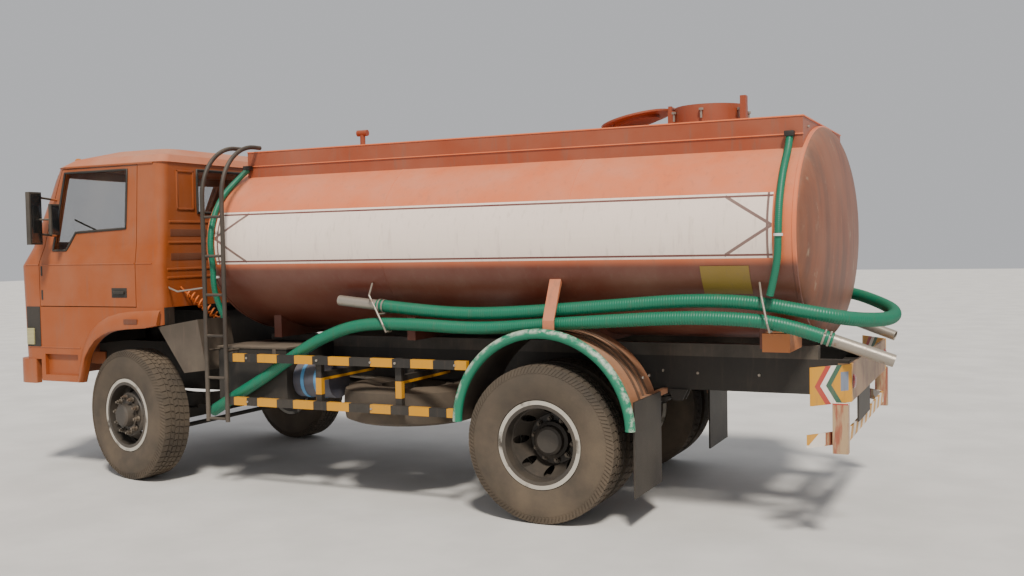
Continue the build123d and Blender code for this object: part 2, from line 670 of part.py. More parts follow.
def front_bumper():
    """Bumper wrapped round the front, with two plates to the rails."""
    low = BUMPER_LOW
    high = BUMPER_TOP
    out = cab_outline(CAB_HALF_WIDTH + 8, FRONT_REACH, 150, BUMPER_REAR, FRONT_BULGE, 14)
    inn = cab_outline(CAB_HALF_WIDTH - 50, FRONT_REACH - 66, 110, BUMPER_REAR - 60, FRONT_BULGE, 14)
    outer = Pos(0, 0, low) * extrude(out, amount=high - low)
    inner = Pos(0, 0, low - 10) * extrude(inn, amount=high - low + 20)
    plates = both_sides(block(FRONT_REACH - 360, FRONT_REACH - 60, RAIL_Y + SEAT_GAP, RAIL_Y + 14,
                              RAIL_BOTTOM + 10, BUMPER_TOP - 10))
    return fuse([outer - inner, *plates])


def cab_mounts():
    """Four rubber blocks between the rails and the cab's floor."""
    front = block(FRAME_FRONT - 90, FRAME_FRONT - 10, RAIL_Y - 38, RAIL_Y, RAIL_TOP + SEAT_GAP,
                  CAB_FLOOR - SEAT_GAP)
    rear = block(CAB_REAR + 80, CAB_REAR + 160, RAIL_Y - 38, RAIL_Y, RAIL_TOP + SEAT_GAP,
                 SEAT_BASE - FLOOR_PLATE - SEAT_GAP)
    return [*both_sides(front), *both_sides(rear)]


def seats():
    """Driver's and mate's seats: cushion and back, each one solid."""
    x = CAB_REAR + 290
    cushion = block(x, x + 500, -260, 260, SEAT_BASE + SEAT_GAP, SEAT_BASE + 190)
    back = side_plate([(x + 20, SEAT_BASE + 100), (x + 150, SEAT_BASE + 100), (x + 40, SEAT_BASE + 760),
                       (x - 70, SEAT_BASE + 760)], -240, 240)
    one = cushion + back
    return [Pos(0, y, 0) * one for y in (SEAT_Y, -SEAT_Y)]


def dashboard():
    """Panel across the cab below the screen, cut to the cab's inside."""
    x = FOOTWELL_REAR + 250
    z = SEAT_BASE
    outline = [(x + 10, z + 135), (FRONT_REACH, z + 75), (FRONT_REACH, z + 375), (x + 130, z + 375),
               (x, z + 275)]
    return side_plate(outline, -2000, 2000) & cab_block(CAB_WALL + SEAT_GAP)


def steering_wheel():
    """Ring, two spokes and a hub on the column's end, on the left, one solid."""
    ring = Torus(215, 15)
    spokes = Box(400, 26, 12)
    hub = Cylinder(36, 44)
    column = Pos(0, 0, -232) * Cylinder(22, 420)
    place = Pos(ahead(FOOTWELL_REAR + 150), SEAT_Y, SEAT_BASE + 415) * Rot(0, -38, 0)
    return place * fuse([ring, spokes, hub, column])


def front_mudguard():
    """Bent plate behind the left front wheel with its outer side closed, on an arm from the rail."""
    x = WHEELBASE
    plate = side_plate([(x - 304, 1243), (x - 322, 1250), (x - 706, 1312), (x - 781, 918), (x - 558, 890),
                        (x - 573, 903), (x - 763, 929), (x - 693, 1298)], 760, 1130)
    side = side_plate([(x - 304, 1243), (x - 322, 1250), (x - 706, 1312), (x - 781, 918), (x - 558, 890)],
                      1118, 1130)
    arm = block(x - 750, x - 710, RAIL_Y + SEAT_GAP, 780, RAIL_TOP - 70, RAIL_TOP - 30)
    return fuse([plate, side, arm])


def mirror_arm():
    """Left mirrors: a tall and a small housing on bars from the door's front post."""
    x = DOOR_FRONT - 190
    tall = block(x, x + 44, CAB_HALF_WIDTH + 120, CAB_HALF_WIDTH + 240, BELT + 175, BELT + 605)
    small = block(x - 132, x - 104, CAB_HALF_WIDTH + 60, CAB_HALF_WIDTH + 145, BELT + 255, BELT + 505)
    link = rod((x - 110, CAB_HALF_WIDTH + 105, BELT + 380), (x + 10, CAB_HALF_WIDTH + 150, BELT + 380), 8)
    bars = [rod((x + 12, CAB_HALF_WIDTH - 45, z), (x + 22, CAB_HALF_WIDTH + 150, z + 20), 9)
            for z in (BELT + 245, BELT + 545)]
    return (fuse([tall, small, link, *bars]) - cab_block(-SEAT_GAP))


def air_tank():
    """Round reservoir on two arms from the left rail."""
    z = RAIL_BOTTOM + 20
    arms = [block(x - 20, x + 20, RAIL_Y + SEAT_GAP, AIR_TANK_Y, z + 50, z + 110)
            for x in (AIR_TANK_REAR + 80, AIR_TANK_FRONT - 80)]
    vessel = rod((AIR_TANK_REAR, AIR_TANK_Y, z), (AIR_TANK_FRONT, AIR_TANK_Y, z), 138)
    return fuse([vessel, *arms])


def spare_wheel():
    """Spare wheel flat under the left rail, and its arm and clamp."""
    x, y = SPARE_AT
    z = RAIL_BOTTOM - TYRE_WIDTH / 2 - SEAT_GAP
    place = Pos(ahead(x), y, z) * Rot(90, 0, 0)
    dish = -60
    arm = block(x - 30, x + 30, RAIL_Y + SEAT_GAP, y + 45, RAIL_BOTTOM + 20, RAIL_BOTTOM + 90)
    stud = rod((x, y, z + dish - 20), (x, y, RAIL_BOTTOM + 40), 16)
    clamp = rod((x, y, z + dish - 24), (x, y, z + dish - SEAT_GAP), 95)
    return [place * tyre(), place * rim(-dish, 1)], fuse([arm, stud, clamp])


def exhaust():
    """Silencer under the right rail with its front pipe and outlet."""
    y = -640
    z = 700
    drum = rod((SILENCER_REAR, y, z), (SILENCER_FRONT, y, z), 125)
    bend = (SILENCER_PIPE_BEND, -300, 720)
    lead = rod((SILENCER_FRONT - 10, y, z), bend, 36) + rod(bend, (WHEELBASE - 925, -260, 730), 36)
    lead = lead + Pos(spot(*bend)) * Sphere(36)
    tail = rod((SILENCER_FRONT - 150, y, z), (SILENCER_FRONT - 150, y - 330, z - 40), 36)
    hangers = [block(x - 15, x + 15, y, -RAIL_Y - SEAT_GAP, 780, 850)
               for x in (SILENCER_REAR + 100, SILENCER_FRONT - 100)]
    return fuse([drum, lead, tail, *hangers])


def stub_boxes():
    """Boxes beside the rear cradle, one each side, below the barrel."""
    return both_sides(block(-1585, -1415.3, 560, 950, 1154, 1269) - tank_body())


def lamp_panels():
    """Dark blank plate hung below the rear beam, left of the middle, on two straps."""
    x = -REAR_REACH
    plate = block(x + 2, x + 13.7, 35, 575, 690, BEAM_LOW - SEAT_GAP)
    straps = [block(x + 14, x + 18, y, y + 40, 720, BEAM_LOW - SEAT_GAP) for y in (110, 460)]
    return [plate, *straps]


def rear_bumper():
    """Folded rear beam, two deep drop posts and the lower bar."""
    fold_y = 900
    end_y = 1150
    end_x = -1750
    face_x = -REAR_REACH

    def folded(z0, z1, shift, depth):
        pts = [(end_x + shift, end_y), (face_x + shift, fold_y), (face_x + shift, -fold_y),
               (end_x + shift, -end_y), (end_x + shift + depth, -end_y),
               (face_x + shift + depth, -fold_y + 12),
               (face_x + shift + depth, fold_y - 12), (end_x + shift + depth, end_y)]
        outline = Polyline([(ahead(x), y) for x, y in pts], close=True)
        return Pos(0, 0, z0) * extrude(make_face(outline), amount=z1 - z0)

    beam = folded(BEAM_LOW, 1090, 0, 14)
    bar = folded(612, 690, 22, 12)
    posts = both_sides(block(face_x + 2, face_x + 92, 985, 1045, 568, BEAM_LOW + 6))
    arms = both_sides(block(face_x + 10, -1790, RAIL_Y + SEAT_GAP, RAIL_Y + 14, 880, 1040))
    return fuse([beam, bar, *posts, *arms])


def side_guard():
    """Left guard: two long rails on two posts, with arms to the frame."""
    y0, y1 = GUARD_INNER_Y, GUARD_OUTER_Y
    front = LADDER_X[1] - LADDER_RADIUS - SEAT_GAP
    upper = block(530, front, y0, y1, GUARD_TOP - 60, GUARD_TOP)
    lower = block(636, front, y0, y1, GUARD_LOW, GUARD_LOW + 60)
    posts = [block(x - 25, x + 25, y0 - 40, y0, GUARD_LOW, GUARD_TOP) for x in GUARD_POSTS_X]
    arms = [block(x - 20, x + 20, RAIL_Y + SEAT_GAP, y0 - 20, 880, 940) for x in GUARD_POSTS_X]
    return fuse([upper, lower, *posts, *arms])


def rear_fender():
    """Left arch over the twin wheels with three pressed ribs and its stays."""
    centre = (-20, FENDER_CENTRE_Z)
    angles = (1, 179)
    skin = arc_band(centre, (FENDER_RADIUS - FENDER_SKIN, FENDER_RADIUS), angles,
                    FENDER_INNER_Y, FENDER_OUTER_Y)
    ribs = [arc_band(centre, (FENDER_RADIUS, FENDER_RADIUS + 7), angles, y, y + 26) for y in (760, 850, 940)]
    stays = []
    for x in (585, -627.2):
        stays.append(block(x - 18, x + 18, RAIL_Y + SEAT_GAP, 900, 800, 836))
    return fuse([skin, *ribs, *stays])


def fender_trim():
    """Split hose pushed over the outer edge of the left fender."""
    origin = (ahead(-20), FENDER_OUTER_Y + 6, FENDER_CENTRE_Z)
    path = Plane(origin=origin, x_dir=(1, 0, 0), z_dir=(0, -1, 0)) * CenterArc((0, 0), FENDER_RADIUS, 1, 178)
    section = Plane(origin=path @ 0, z_dir=path % 0) * Circle(TRIM_RADIUS)
    return sweep(section, path=path) - rear_fender()


def fender_strap():
    """Flat bar from the tank's side over the hoses to the fender's outer edge."""
    outer = FENDER_OUTER_Y - 40
    top = FENDER_CENTRE_Z + FENDER_RADIUS + SEAT_GAP
    bar = cross_plate([(outer, top), (outer + 9, top), (outer + 9, 1346), (1024, 1640), (990, 1640),
                       (outer, 1346)], -110, -30)
    foot = block(-110, -30, outer - 30, outer + 9, top, top + 8)
    return bar + foot - tank_body()


def ladder():
    """Left ladder: two rails with their stays, bent over to the coaming, and the rungs between them."""
    hook_z = COAMING_TOP + 30
    pieces = []
    for x in LADDER_X:
        places = [spot(x, LADDER_Y, 540), spot(x, LADDER_Y, hook_z), spot(x, COAMING_Y - 30, hook_z)]
        path = FilletPolyline(places, radius=LADDER_BEND)
        rail = sweep(Plane(origin=path @ 0, z_dir=path % 0) * Circle(LADDER_RADIUS), path=path)
        stay = rod((x, BOX_OUTER_Y + SEAT_GAP, BOX_TOP - 20), (x, LADDER_Y, BOX_TOP - 20), 9)
        pieces.append(rail + stay)
    inset = LADDER_RADIUS + SEAT_GAP
    for z in RUNGS:
        ends = [(x, LADDER_Y, z) for x in (LADDER_X[1] + inset, LADDER_X[0] - inset)]
        pieces.append(rod(*ends, RUNG_RADIUS))
    return pieces


def hose_path(points):
    """Straight runs with arcs as large as the runs allow, and the radii."""
    places = [spot(*p) for p in points]
    radii = []
    for a, b, c in zip(places, places[1:], places[2:]):
        turn = math.radians((b - a).get_angle(c - b))
        run = min((b - a).length, (c - b).length)
        radii.append(0.45 * run / math.tan(turn / 2))
    return FilletPolyline(*places, radius=radii), radii


def hose(points, radius, name):
    path, radii = hose_path(points)
    tube = sweep(Plane(origin=path @ 0, z_dir=path % 0) * Circle(radius), path=path)
    ideal = math.pi * radius ** 2 * path.length
    share = tube.volume / ideal
    print(f"{name}: length {path.length:.0f}, least radius {min(radii):.0f}, volume ratio {share:.4f}")
    return tube


def long_hose_route():
    """The long hose: left side, round behind the tank, right side."""
    right = [(x, -y, z) for x, y, z in reversed(LONG_HOSE_SIDE[:-1])]
    return [*LONG_HOSE_SIDE, *LONG_HOSE_BACK, *right]


def hose_pipe(end, inward, reach):
    """Steel pipe stub in line with a hose's last run, open at its far end."""
    a = spot(*end)
    along = (a - spot(*inward)).normalized()
    plane = Plane(origin=a + along * SEAT_GAP, z_dir=along)
    tube = Solid.make_cylinder(PIPE_RADIUS, reach - SEAT_GAP, plane)
    hollow = Solid.make_cylinder(PIPE_RADIUS - 4, reach, plane)
    return tube - hollow


def bent_rod(points, radius):
    """Round bar through several points, rounded at each."""
    bars = [rod(a, b, radius) for a, b in zip(points, points[1:])]
    knees = [Pos(spot(*p)) * Sphere(radius) for p in points]
    return fuse([*bars, *knees])


def hose_hook(x_top, x_low, low, rest_x=None):
    """Bent rod from the tank's side out round both hoses, with a bar under the long hose."""
    off = HOOK_RADIUS + SEAT_GAP
    top = (x_top, tank_side_y(HOOK_TOP, off), HOOK_TOP)
    knee = (x_top - 30, 1118, 1505)
    heel = (x_low + 8, 1165, low + 52)
    hook = bent_rod([top, knee, heel, (x_low, 1140, low), (x_low, 1070, low)], HOOK_RADIUS)
    if rest_x is None:
        return hook
    end, run = LONG_HOSE_SIDE[:2]
    slope = (end[2] - run[2]) / (end[0] - run[0])
    under = HOSE_RADIUS / math.cos(math.atan(slope)) + off
    z = end[2] - slope * (end[0] - rest_x) - under
    share = (knee[2] - z) / (knee[2] - heel[2])
    outer = tuple(a + (b - a) * share for a, b in zip(knee, heel))
    return hook + bent_rod([(rest_x, tank_side_y(z, off), z), outer], HOOK_RADIUS)


def tank_side_y(z, off):
    """Y of a point off the tank's left side at height z."""
    rise = (z - TANK_MID) / (TANK_HALF_HEIGHT + off)
    return (TANK_HALF_WIDTH + off) * math.sqrt(1 - rise * rise)


def drain_start(x, z, after):
    """First point of a drain hose, its end disc just off the coaming."""
    lean = (spot(*after) - spot(x, COAMING_Y + DRAIN_RADIUS, z)).normalized()
    return (x, COAMING_Y + SEAT_GAP + DRAIN_RADIUS * math.sqrt(1 - lean.Y ** 2), z)


def drain_hoses():
    """Thin hoses from the trough down the tank's side, the front one held close."""
    off = DRAIN_RADIUS + 10
    rear = [(REAR_DRAIN_X, tank_side_y(TANK_TOP - low, off + 6), TANK_TOP - low)
            for low in (185, 335, 515, 690)]
    rear.insert(0, drain_start(REAR_DRAIN_X, TANK_TOP - 113, rear[0]))
    rear += [(REAR_DRAIN_X + 5, 1140, 1750), (REAR_DRAIN_X + 28, 1124, 1630),
             (REAR_DRAIN_X + 60, 1108, 1512)]
    high = TANK_TOP - 205
    front = [(FRONT_DRAIN_X - 30, tank_side_y(high, off + 4), high)]
    front.insert(0, drain_start(FRONT_DRAIN_X - 85, TANK_TOP - 127, front[0]))
    for z in (TANK_MID + 375, TANK_MID + 205, TANK_MID + 15, TANK_MID - 175, TANK_MID - 345, TANK_MID - 485,
              TANK_MID - 585):
        front.append((FRONT_DRAIN_X, tank_side_y(z, off + 6), z))
    return [hose(rear, DRAIN_RADIUS, "rear drain"), hose(front, DRAIN_RADIUS, "front drain")]


def wheel_nodes():
    """Knuckles, tyres and rims: built on the left, mirrored to the right."""
    nodes = {}
    wheel_at = Pos(ahead(WHEELBASE), FRONT_WHEEL_Y, AXLE_HEIGHT)
    pivot = Pos(ahead(WHEELBASE), KINGPIN_Y, AXLE_HEIGHT)
    pair_at = Pos(ahead(0), REAR_PAIR_Y, AXLE_HEIGHT)
    twins = [pair_at * Pos((0, offset, 0)) * tyre() for offset in (TWIN_OFFSET, -TWIN_OFFSET)]
    for side, word in ((1, "left"), (-1, "right")):
        pose = pivot * Rot(0, 0, REST_STEER_DEG * side) * pivot.inverse()
        shapes = {
            f"knuckle_{word}": [pose * knuckle()],
            f"tyre_front_{word}": [pose * wheel_at * tyre()],
            f"rim_front_{word}": [pose * wheel_at * front_rim()],
            f"tyres_rear_{word}": twins,
            f"rims_rear_{word}": [pair_at * rear_rims()],
        }
        for name, solids in shapes.items():
            nodes[name] = solids if side > 0 else [mirror(solid, Plane.XZ) for solid in solids]
    return nodes


def chassis_nodes():
    """Frame, axles, springs, engine and what hangs on the frame."""
    front_seat = AXLE_HEIGHT + BEAM_DEPTH / 2 - 70 + 24
    rear_seat = AXLE_HEIGHT + 90
    brackets = spring_brackets(WHEELBASE, FRONT_SPRING_HALF) + spring_brackets(0, REAR_SPRING_HALF)
    spare, carrier = spare_wheel()
    gearbox_rear = WHEELBASE - 935
    motor_rear = WHEELBASE - 305
    shaft = rod((334, 0, AXLE_HEIGHT + 32), (gearbox_rear - 4, 0, 740), 42)
    motor = block(motor_rear, motor_rear + 1160, -340, 340, 640, ENGINE_TOP)
    gearbox = block(gearbox_rear, motor_rear, -190, 190, 600, CROSSMEMBER_LOW - SEAT_GAP)
    return {
        "frame_rails": frame_rails(),
        "frame_fittings": [*crossmembers(), *[s for b in brackets for s in both_sides(b)], *cab_mounts(),
                           carrier],
        "front_axle_beam": axle_beam(),
        "tie_rod": tie_rod(),
        "rear_axle": rear_axle(),
        "springs": [*both_sides(spring_pack(WHEELBASE, front_seat, FRONT_SPRING_HALF, 7)),
                    *both_sides(spring_pack(0, rear_seat, REAR_SPRING_HALF, 8))],
        "engine": [motor + gearbox, shaft],
        "exhaust": exhaust(),
        "spare_wheel": spare,
        "side_boxes": [block(AIR_TANK_FRONT + BOX_END_GAP, TANK_FRONT - BOX_END_GAP, RAIL_Y + SEAT_GAP,
                             BOX_OUTER_Y, 690, BOX_TOP),
                       block(FUEL_BOX_REAR, TANK_FRONT - 250, -BOX_OUTER_Y, -RAIL_Y - SEAT_GAP, 540,
                             1030)],
        "air_tank": air_tank(),
    }


def tank_nodes():
    return {
        "tank_barrel": tank_body(),
        "tank_heads": tank_heads(),
        "tank_bearers": [*tank_bearers(), *stub_boxes()],
        "coaming": coaming(),
        "manhole_collar": manhole(),
        "manhole_lid": manhole_lid(),
        "ladder": ladder(),
        "drain_hoses": [s for hose_side in drain_hoses() for s in both_sides(hose_side)],
    }


def cab_nodes():
    nodes = cab_parts()
    mirrors = both_sides(mirror_arm())
    nodes["door_left"] = [nodes["door_left"], mirrors[0]]
    nodes["door_right"] = [nodes["door_right"], mirrors[1]]
    nodes["seats"] = seats()
    nodes["dashboard"] = dashboard() + steering_wheel()
    return nodes


def guard_nodes():
    """Bumpers, side guards, fenders and flaps."""
    flap = block(-657.5, -645.5, 625, FENDER_OUTER_Y - 28, 220, 836)
    return {
        "front_bumper": front_bumper(),
        "rear_bumper": rear_bumper(),
        "lamp_panels": lamp_panels(),
        "side_guards": both_sides(side_guard()),
        "front_mudguards": both_sides(front_mudguard()),
        "fenders_rear": [*both_sides(rear_fender()), *both_sides(fender_strap())],
        "fender_trims": both_sides(fender_trim()),
        "mudflaps": both_sides(flap),
    }


def hose_nodes():
    """The three hoses laid in their hooks, and the pipes at their ends."""
    right_route = [*LOW_HOSE[:-3], *RIGHT_HOSE_END]
    low_pipe = hose_pipe(LOW_HOSE[-1], LOW_HOSE[-2], LOW_PIPE_REACH)
    right_pipe = hose_pipe(right_route[-1], right_route[-2], LOW_PIPE_REACH)
    return {
        "hose_long": hose(long_hose_route(), HOSE_RADIUS, "long hose"),
        "hose_low_left": hose(LOW_HOSE, HOSE_RADIUS, "left low hose"),
        "hose_low_right": mirror(hose(right_route, HOSE_RADIUS, "right low hose"), Plane.XZ),
        "pipes_long": both_sides(hose_pipe(LONG_HOSE_SIDE[0], LONG_HOSE_SIDE[1], 330)),
        "pipe_low_left": low_pipe,
        "pipe_low_right": mirror(right_pipe, Plane.XZ),
        "hose_hooks": [hose_hook(1372, 1195, 1248, 1253), hose_hook(-1420, -1500, 1294),
                       mirror(hose_hook(1372, 1195, 1248.8, 1253), Plane.XZ),
                       mirror(hose_hook(-1420, -1500, 1229.8), Plane.XZ)],
    }


def build_nodes():
    """Every node's name with its shape or list of shapes."""
    return {**wheel_nodes(), **chassis_nodes(), **tank_nodes(), **cab_nodes(), **guard_nodes(),
            **hose_nodes()}


def write(nodes):
    os.makedirs("parts", exist_ok=True)
    for name, shape in nodes.items():
        shape = shape if isinstance(shape, (list, tuple)) else [shape]
        solids = [solid for piece in shape for solid in piece.solids()]
        export_step(Compound(children=solids) if len(solids) > 1 else solids[0], f"parts/{name}.step")


if __name__ == "__main__":
    write(build_nodes())
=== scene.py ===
"""Looks of a two-axle tanker truck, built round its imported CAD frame.

Metres, +X forward, +Y to the truck's left, +Z up. Lengths called ahead are
measured forward from the rear axle. The camera stands where the photograph's did.
"""
import math

import bmesh
import bpy
from mathutils import Matrix, Vector


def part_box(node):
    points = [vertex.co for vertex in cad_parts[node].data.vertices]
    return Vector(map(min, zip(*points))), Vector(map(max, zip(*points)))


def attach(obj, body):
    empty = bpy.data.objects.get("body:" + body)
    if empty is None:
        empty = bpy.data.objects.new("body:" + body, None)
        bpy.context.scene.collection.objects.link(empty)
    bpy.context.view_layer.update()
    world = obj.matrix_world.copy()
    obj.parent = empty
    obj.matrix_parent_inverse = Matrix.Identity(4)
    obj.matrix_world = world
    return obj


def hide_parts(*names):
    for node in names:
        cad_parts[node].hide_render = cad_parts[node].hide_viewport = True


bl_info = {
    "name": "Tanker truck looks",
    "version": (1, 0, 0),
    "blender": (4, 5, 0),
    "location": "3D View > Sidebar > Tanker",
    "description": "Builds the visible pieces and materials of a tanker truck round its frame",
    "category": "Object",
}

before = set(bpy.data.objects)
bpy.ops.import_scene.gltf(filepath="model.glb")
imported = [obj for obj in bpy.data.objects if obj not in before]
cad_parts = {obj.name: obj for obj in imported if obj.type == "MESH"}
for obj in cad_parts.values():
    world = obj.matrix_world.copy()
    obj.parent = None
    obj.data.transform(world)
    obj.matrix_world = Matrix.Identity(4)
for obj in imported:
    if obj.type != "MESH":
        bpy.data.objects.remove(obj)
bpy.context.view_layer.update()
TYRES_LOW, TYRES_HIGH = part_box("tyres_rear_left")
REAR_AXLE_X = (TYRES_LOW.x + TYRES_HIGH.x) / 2
FRONT_AXLE_X = REAR_AXLE_X + 3.625
AXLE_HEIGHT = 0.527
STEER = math.radians(-12.4)
SIDES = ((1, "left"), (-1, "right"))


def ahead(x, y, z):
    """Point from a length ahead of the rear axle, y and z."""
    return Vector((REAR_AXLE_X + x, y, z))


def on_side(side, x, y, z):
    """Point on the left (1) or right (-1) side, y given as if on the left."""
    return ahead(x, side * y, z)


# Building meshes


def square_to(along):
    """Two directions square to along and to each other."""
    side = along.orthogonal().normalized()
    return side, along.normalized().cross(side)


def circle(centre, side, up, radius, count):
    """Points round centre in the plane of two directions."""
    turns = [2 * math.pi * i / count for i in range(count)]
    return [centre + (side * math.cos(turn) + up * math.sin(turn)) * radius for turn in turns]


class Shape:
    """A mesh under construction."""

    def __init__(self):
        self.bm = bmesh.new()

    def box(self, x, y, z, bevel):
        """Box between two values on each axis, x ahead, its edges rounded by bevel."""
        low = ahead(x[0], y[0], z[0])
        size = ahead(x[1], y[1], z[1]) - low
        place = Matrix.Translation(low + size / 2) @ Matrix.Diagonal((*size, 1))
        made = bmesh.ops.create_cube(self.bm, size=1.0, matrix=place)
        edges = dict.fromkeys(edge for vert in made["verts"] for edge in vert.link_edges)
        bmesh.ops.bevel(self.bm, geom=list(edges), offset=bevel, segments=2, affect="EDGES", profile=0.6)

    def side_box(self, side, x, y, z, bevel):
        """Box on one side of the truck, y given as if on the left."""
        self.box(x, sorted((side * y[0], side * y[1])), z, bevel)

    def skin(self, rings, looped=False):
        """Quads between rings of the same number of points, closed at both ends or looped."""
        rows = [[self.bm.verts.new(point) for point in ring] for ring in rings]
        pairs = list(zip(rows, rows[1:]))
        if looped:
            pairs.append((rows[-1], rows[0]))
        for a, b in pairs:
            for i in range(len(a)):
                j = (i + 1) % len(a)
                self.bm.faces.new((a[i], a[j], b[j], b[i]))
        if not looped:
            self.bm.faces.new(rows[0])
            self.bm.faces.new(list(reversed(rows[-1])))

    def rod(self, start, end, radius, sides=16, far_radius=None):
        """Straight rod, tapered where it has a far radius."""
        side, up = square_to(end - start)
        far = radius if far_radius is None else far_radius
        self.skin([circle(start, side, up, radius, sides), circle(end, side, up, far, sides)])

    def lathe(self, profile, centre, axis, steps=48, looped=False):
        """Surface turned about axis from (along, radius) points."""
        axis = Vector(axis).normalized()
        side, up = square_to(axis)
        self.skin([circle(centre + axis * along, side, up, max(radius, 1e-4), steps)
                   for along, radius in profile], looped)

    def tube(self, points, radii, sides, looped=False):
        """Round tube along points, its rings kept from twisting."""
        rings = []
        side = None
        last = len(points) - 1
        for i, point in enumerate(points):
            before = points[i - 1] if looped else points[max(i - 1, 0)]
            after = points[(i + 1) % len(points)] if looped else points[min(i + 1, last)]
            along = (after - before).normalized()
            side = along.orthogonal() if side is None else side - along * side.dot(along)
            side.normalize()
            radius = radii[i] if isinstance(radii, list) else radii
            rings.append(circle(point, side, along.cross(side), radius, sides))
        self.skin(rings, looped)

    def bolt(self, place, axis, size, height=None):
        """Hexagon head standing on a surface."""
        axis = Vector(axis).normalized()
        height = size * 0.7 if height is None else height
        self.rod(place - axis * 0.002, place + axis * height, size, sides=6)

    def piece(self, name, look, body="chassis", smooth=40.0, slot=None):
        """Turns the mesh into a piece that rides on a body."""
        bmesh.ops.recalc_face_normals(self.bm, faces=self.bm.faces[:])
        mesh = bpy.data.meshes.new(name)
        self.bm.to_mesh(mesh)
        self.bm.free()
        mesh.shade_smooth()
        mesh.set_sharp_from_angle(angle=math.radians(smooth))
        thing = bpy.data.objects.new(name, mesh)
        bpy.context.scene.collection.objects.link(thing)
        mesh.materials.append(LOOKS[look])
        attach(thing, body)
        return thing


# Building materials

ROAD_DUST = (0.50, 0.41, 0.31)


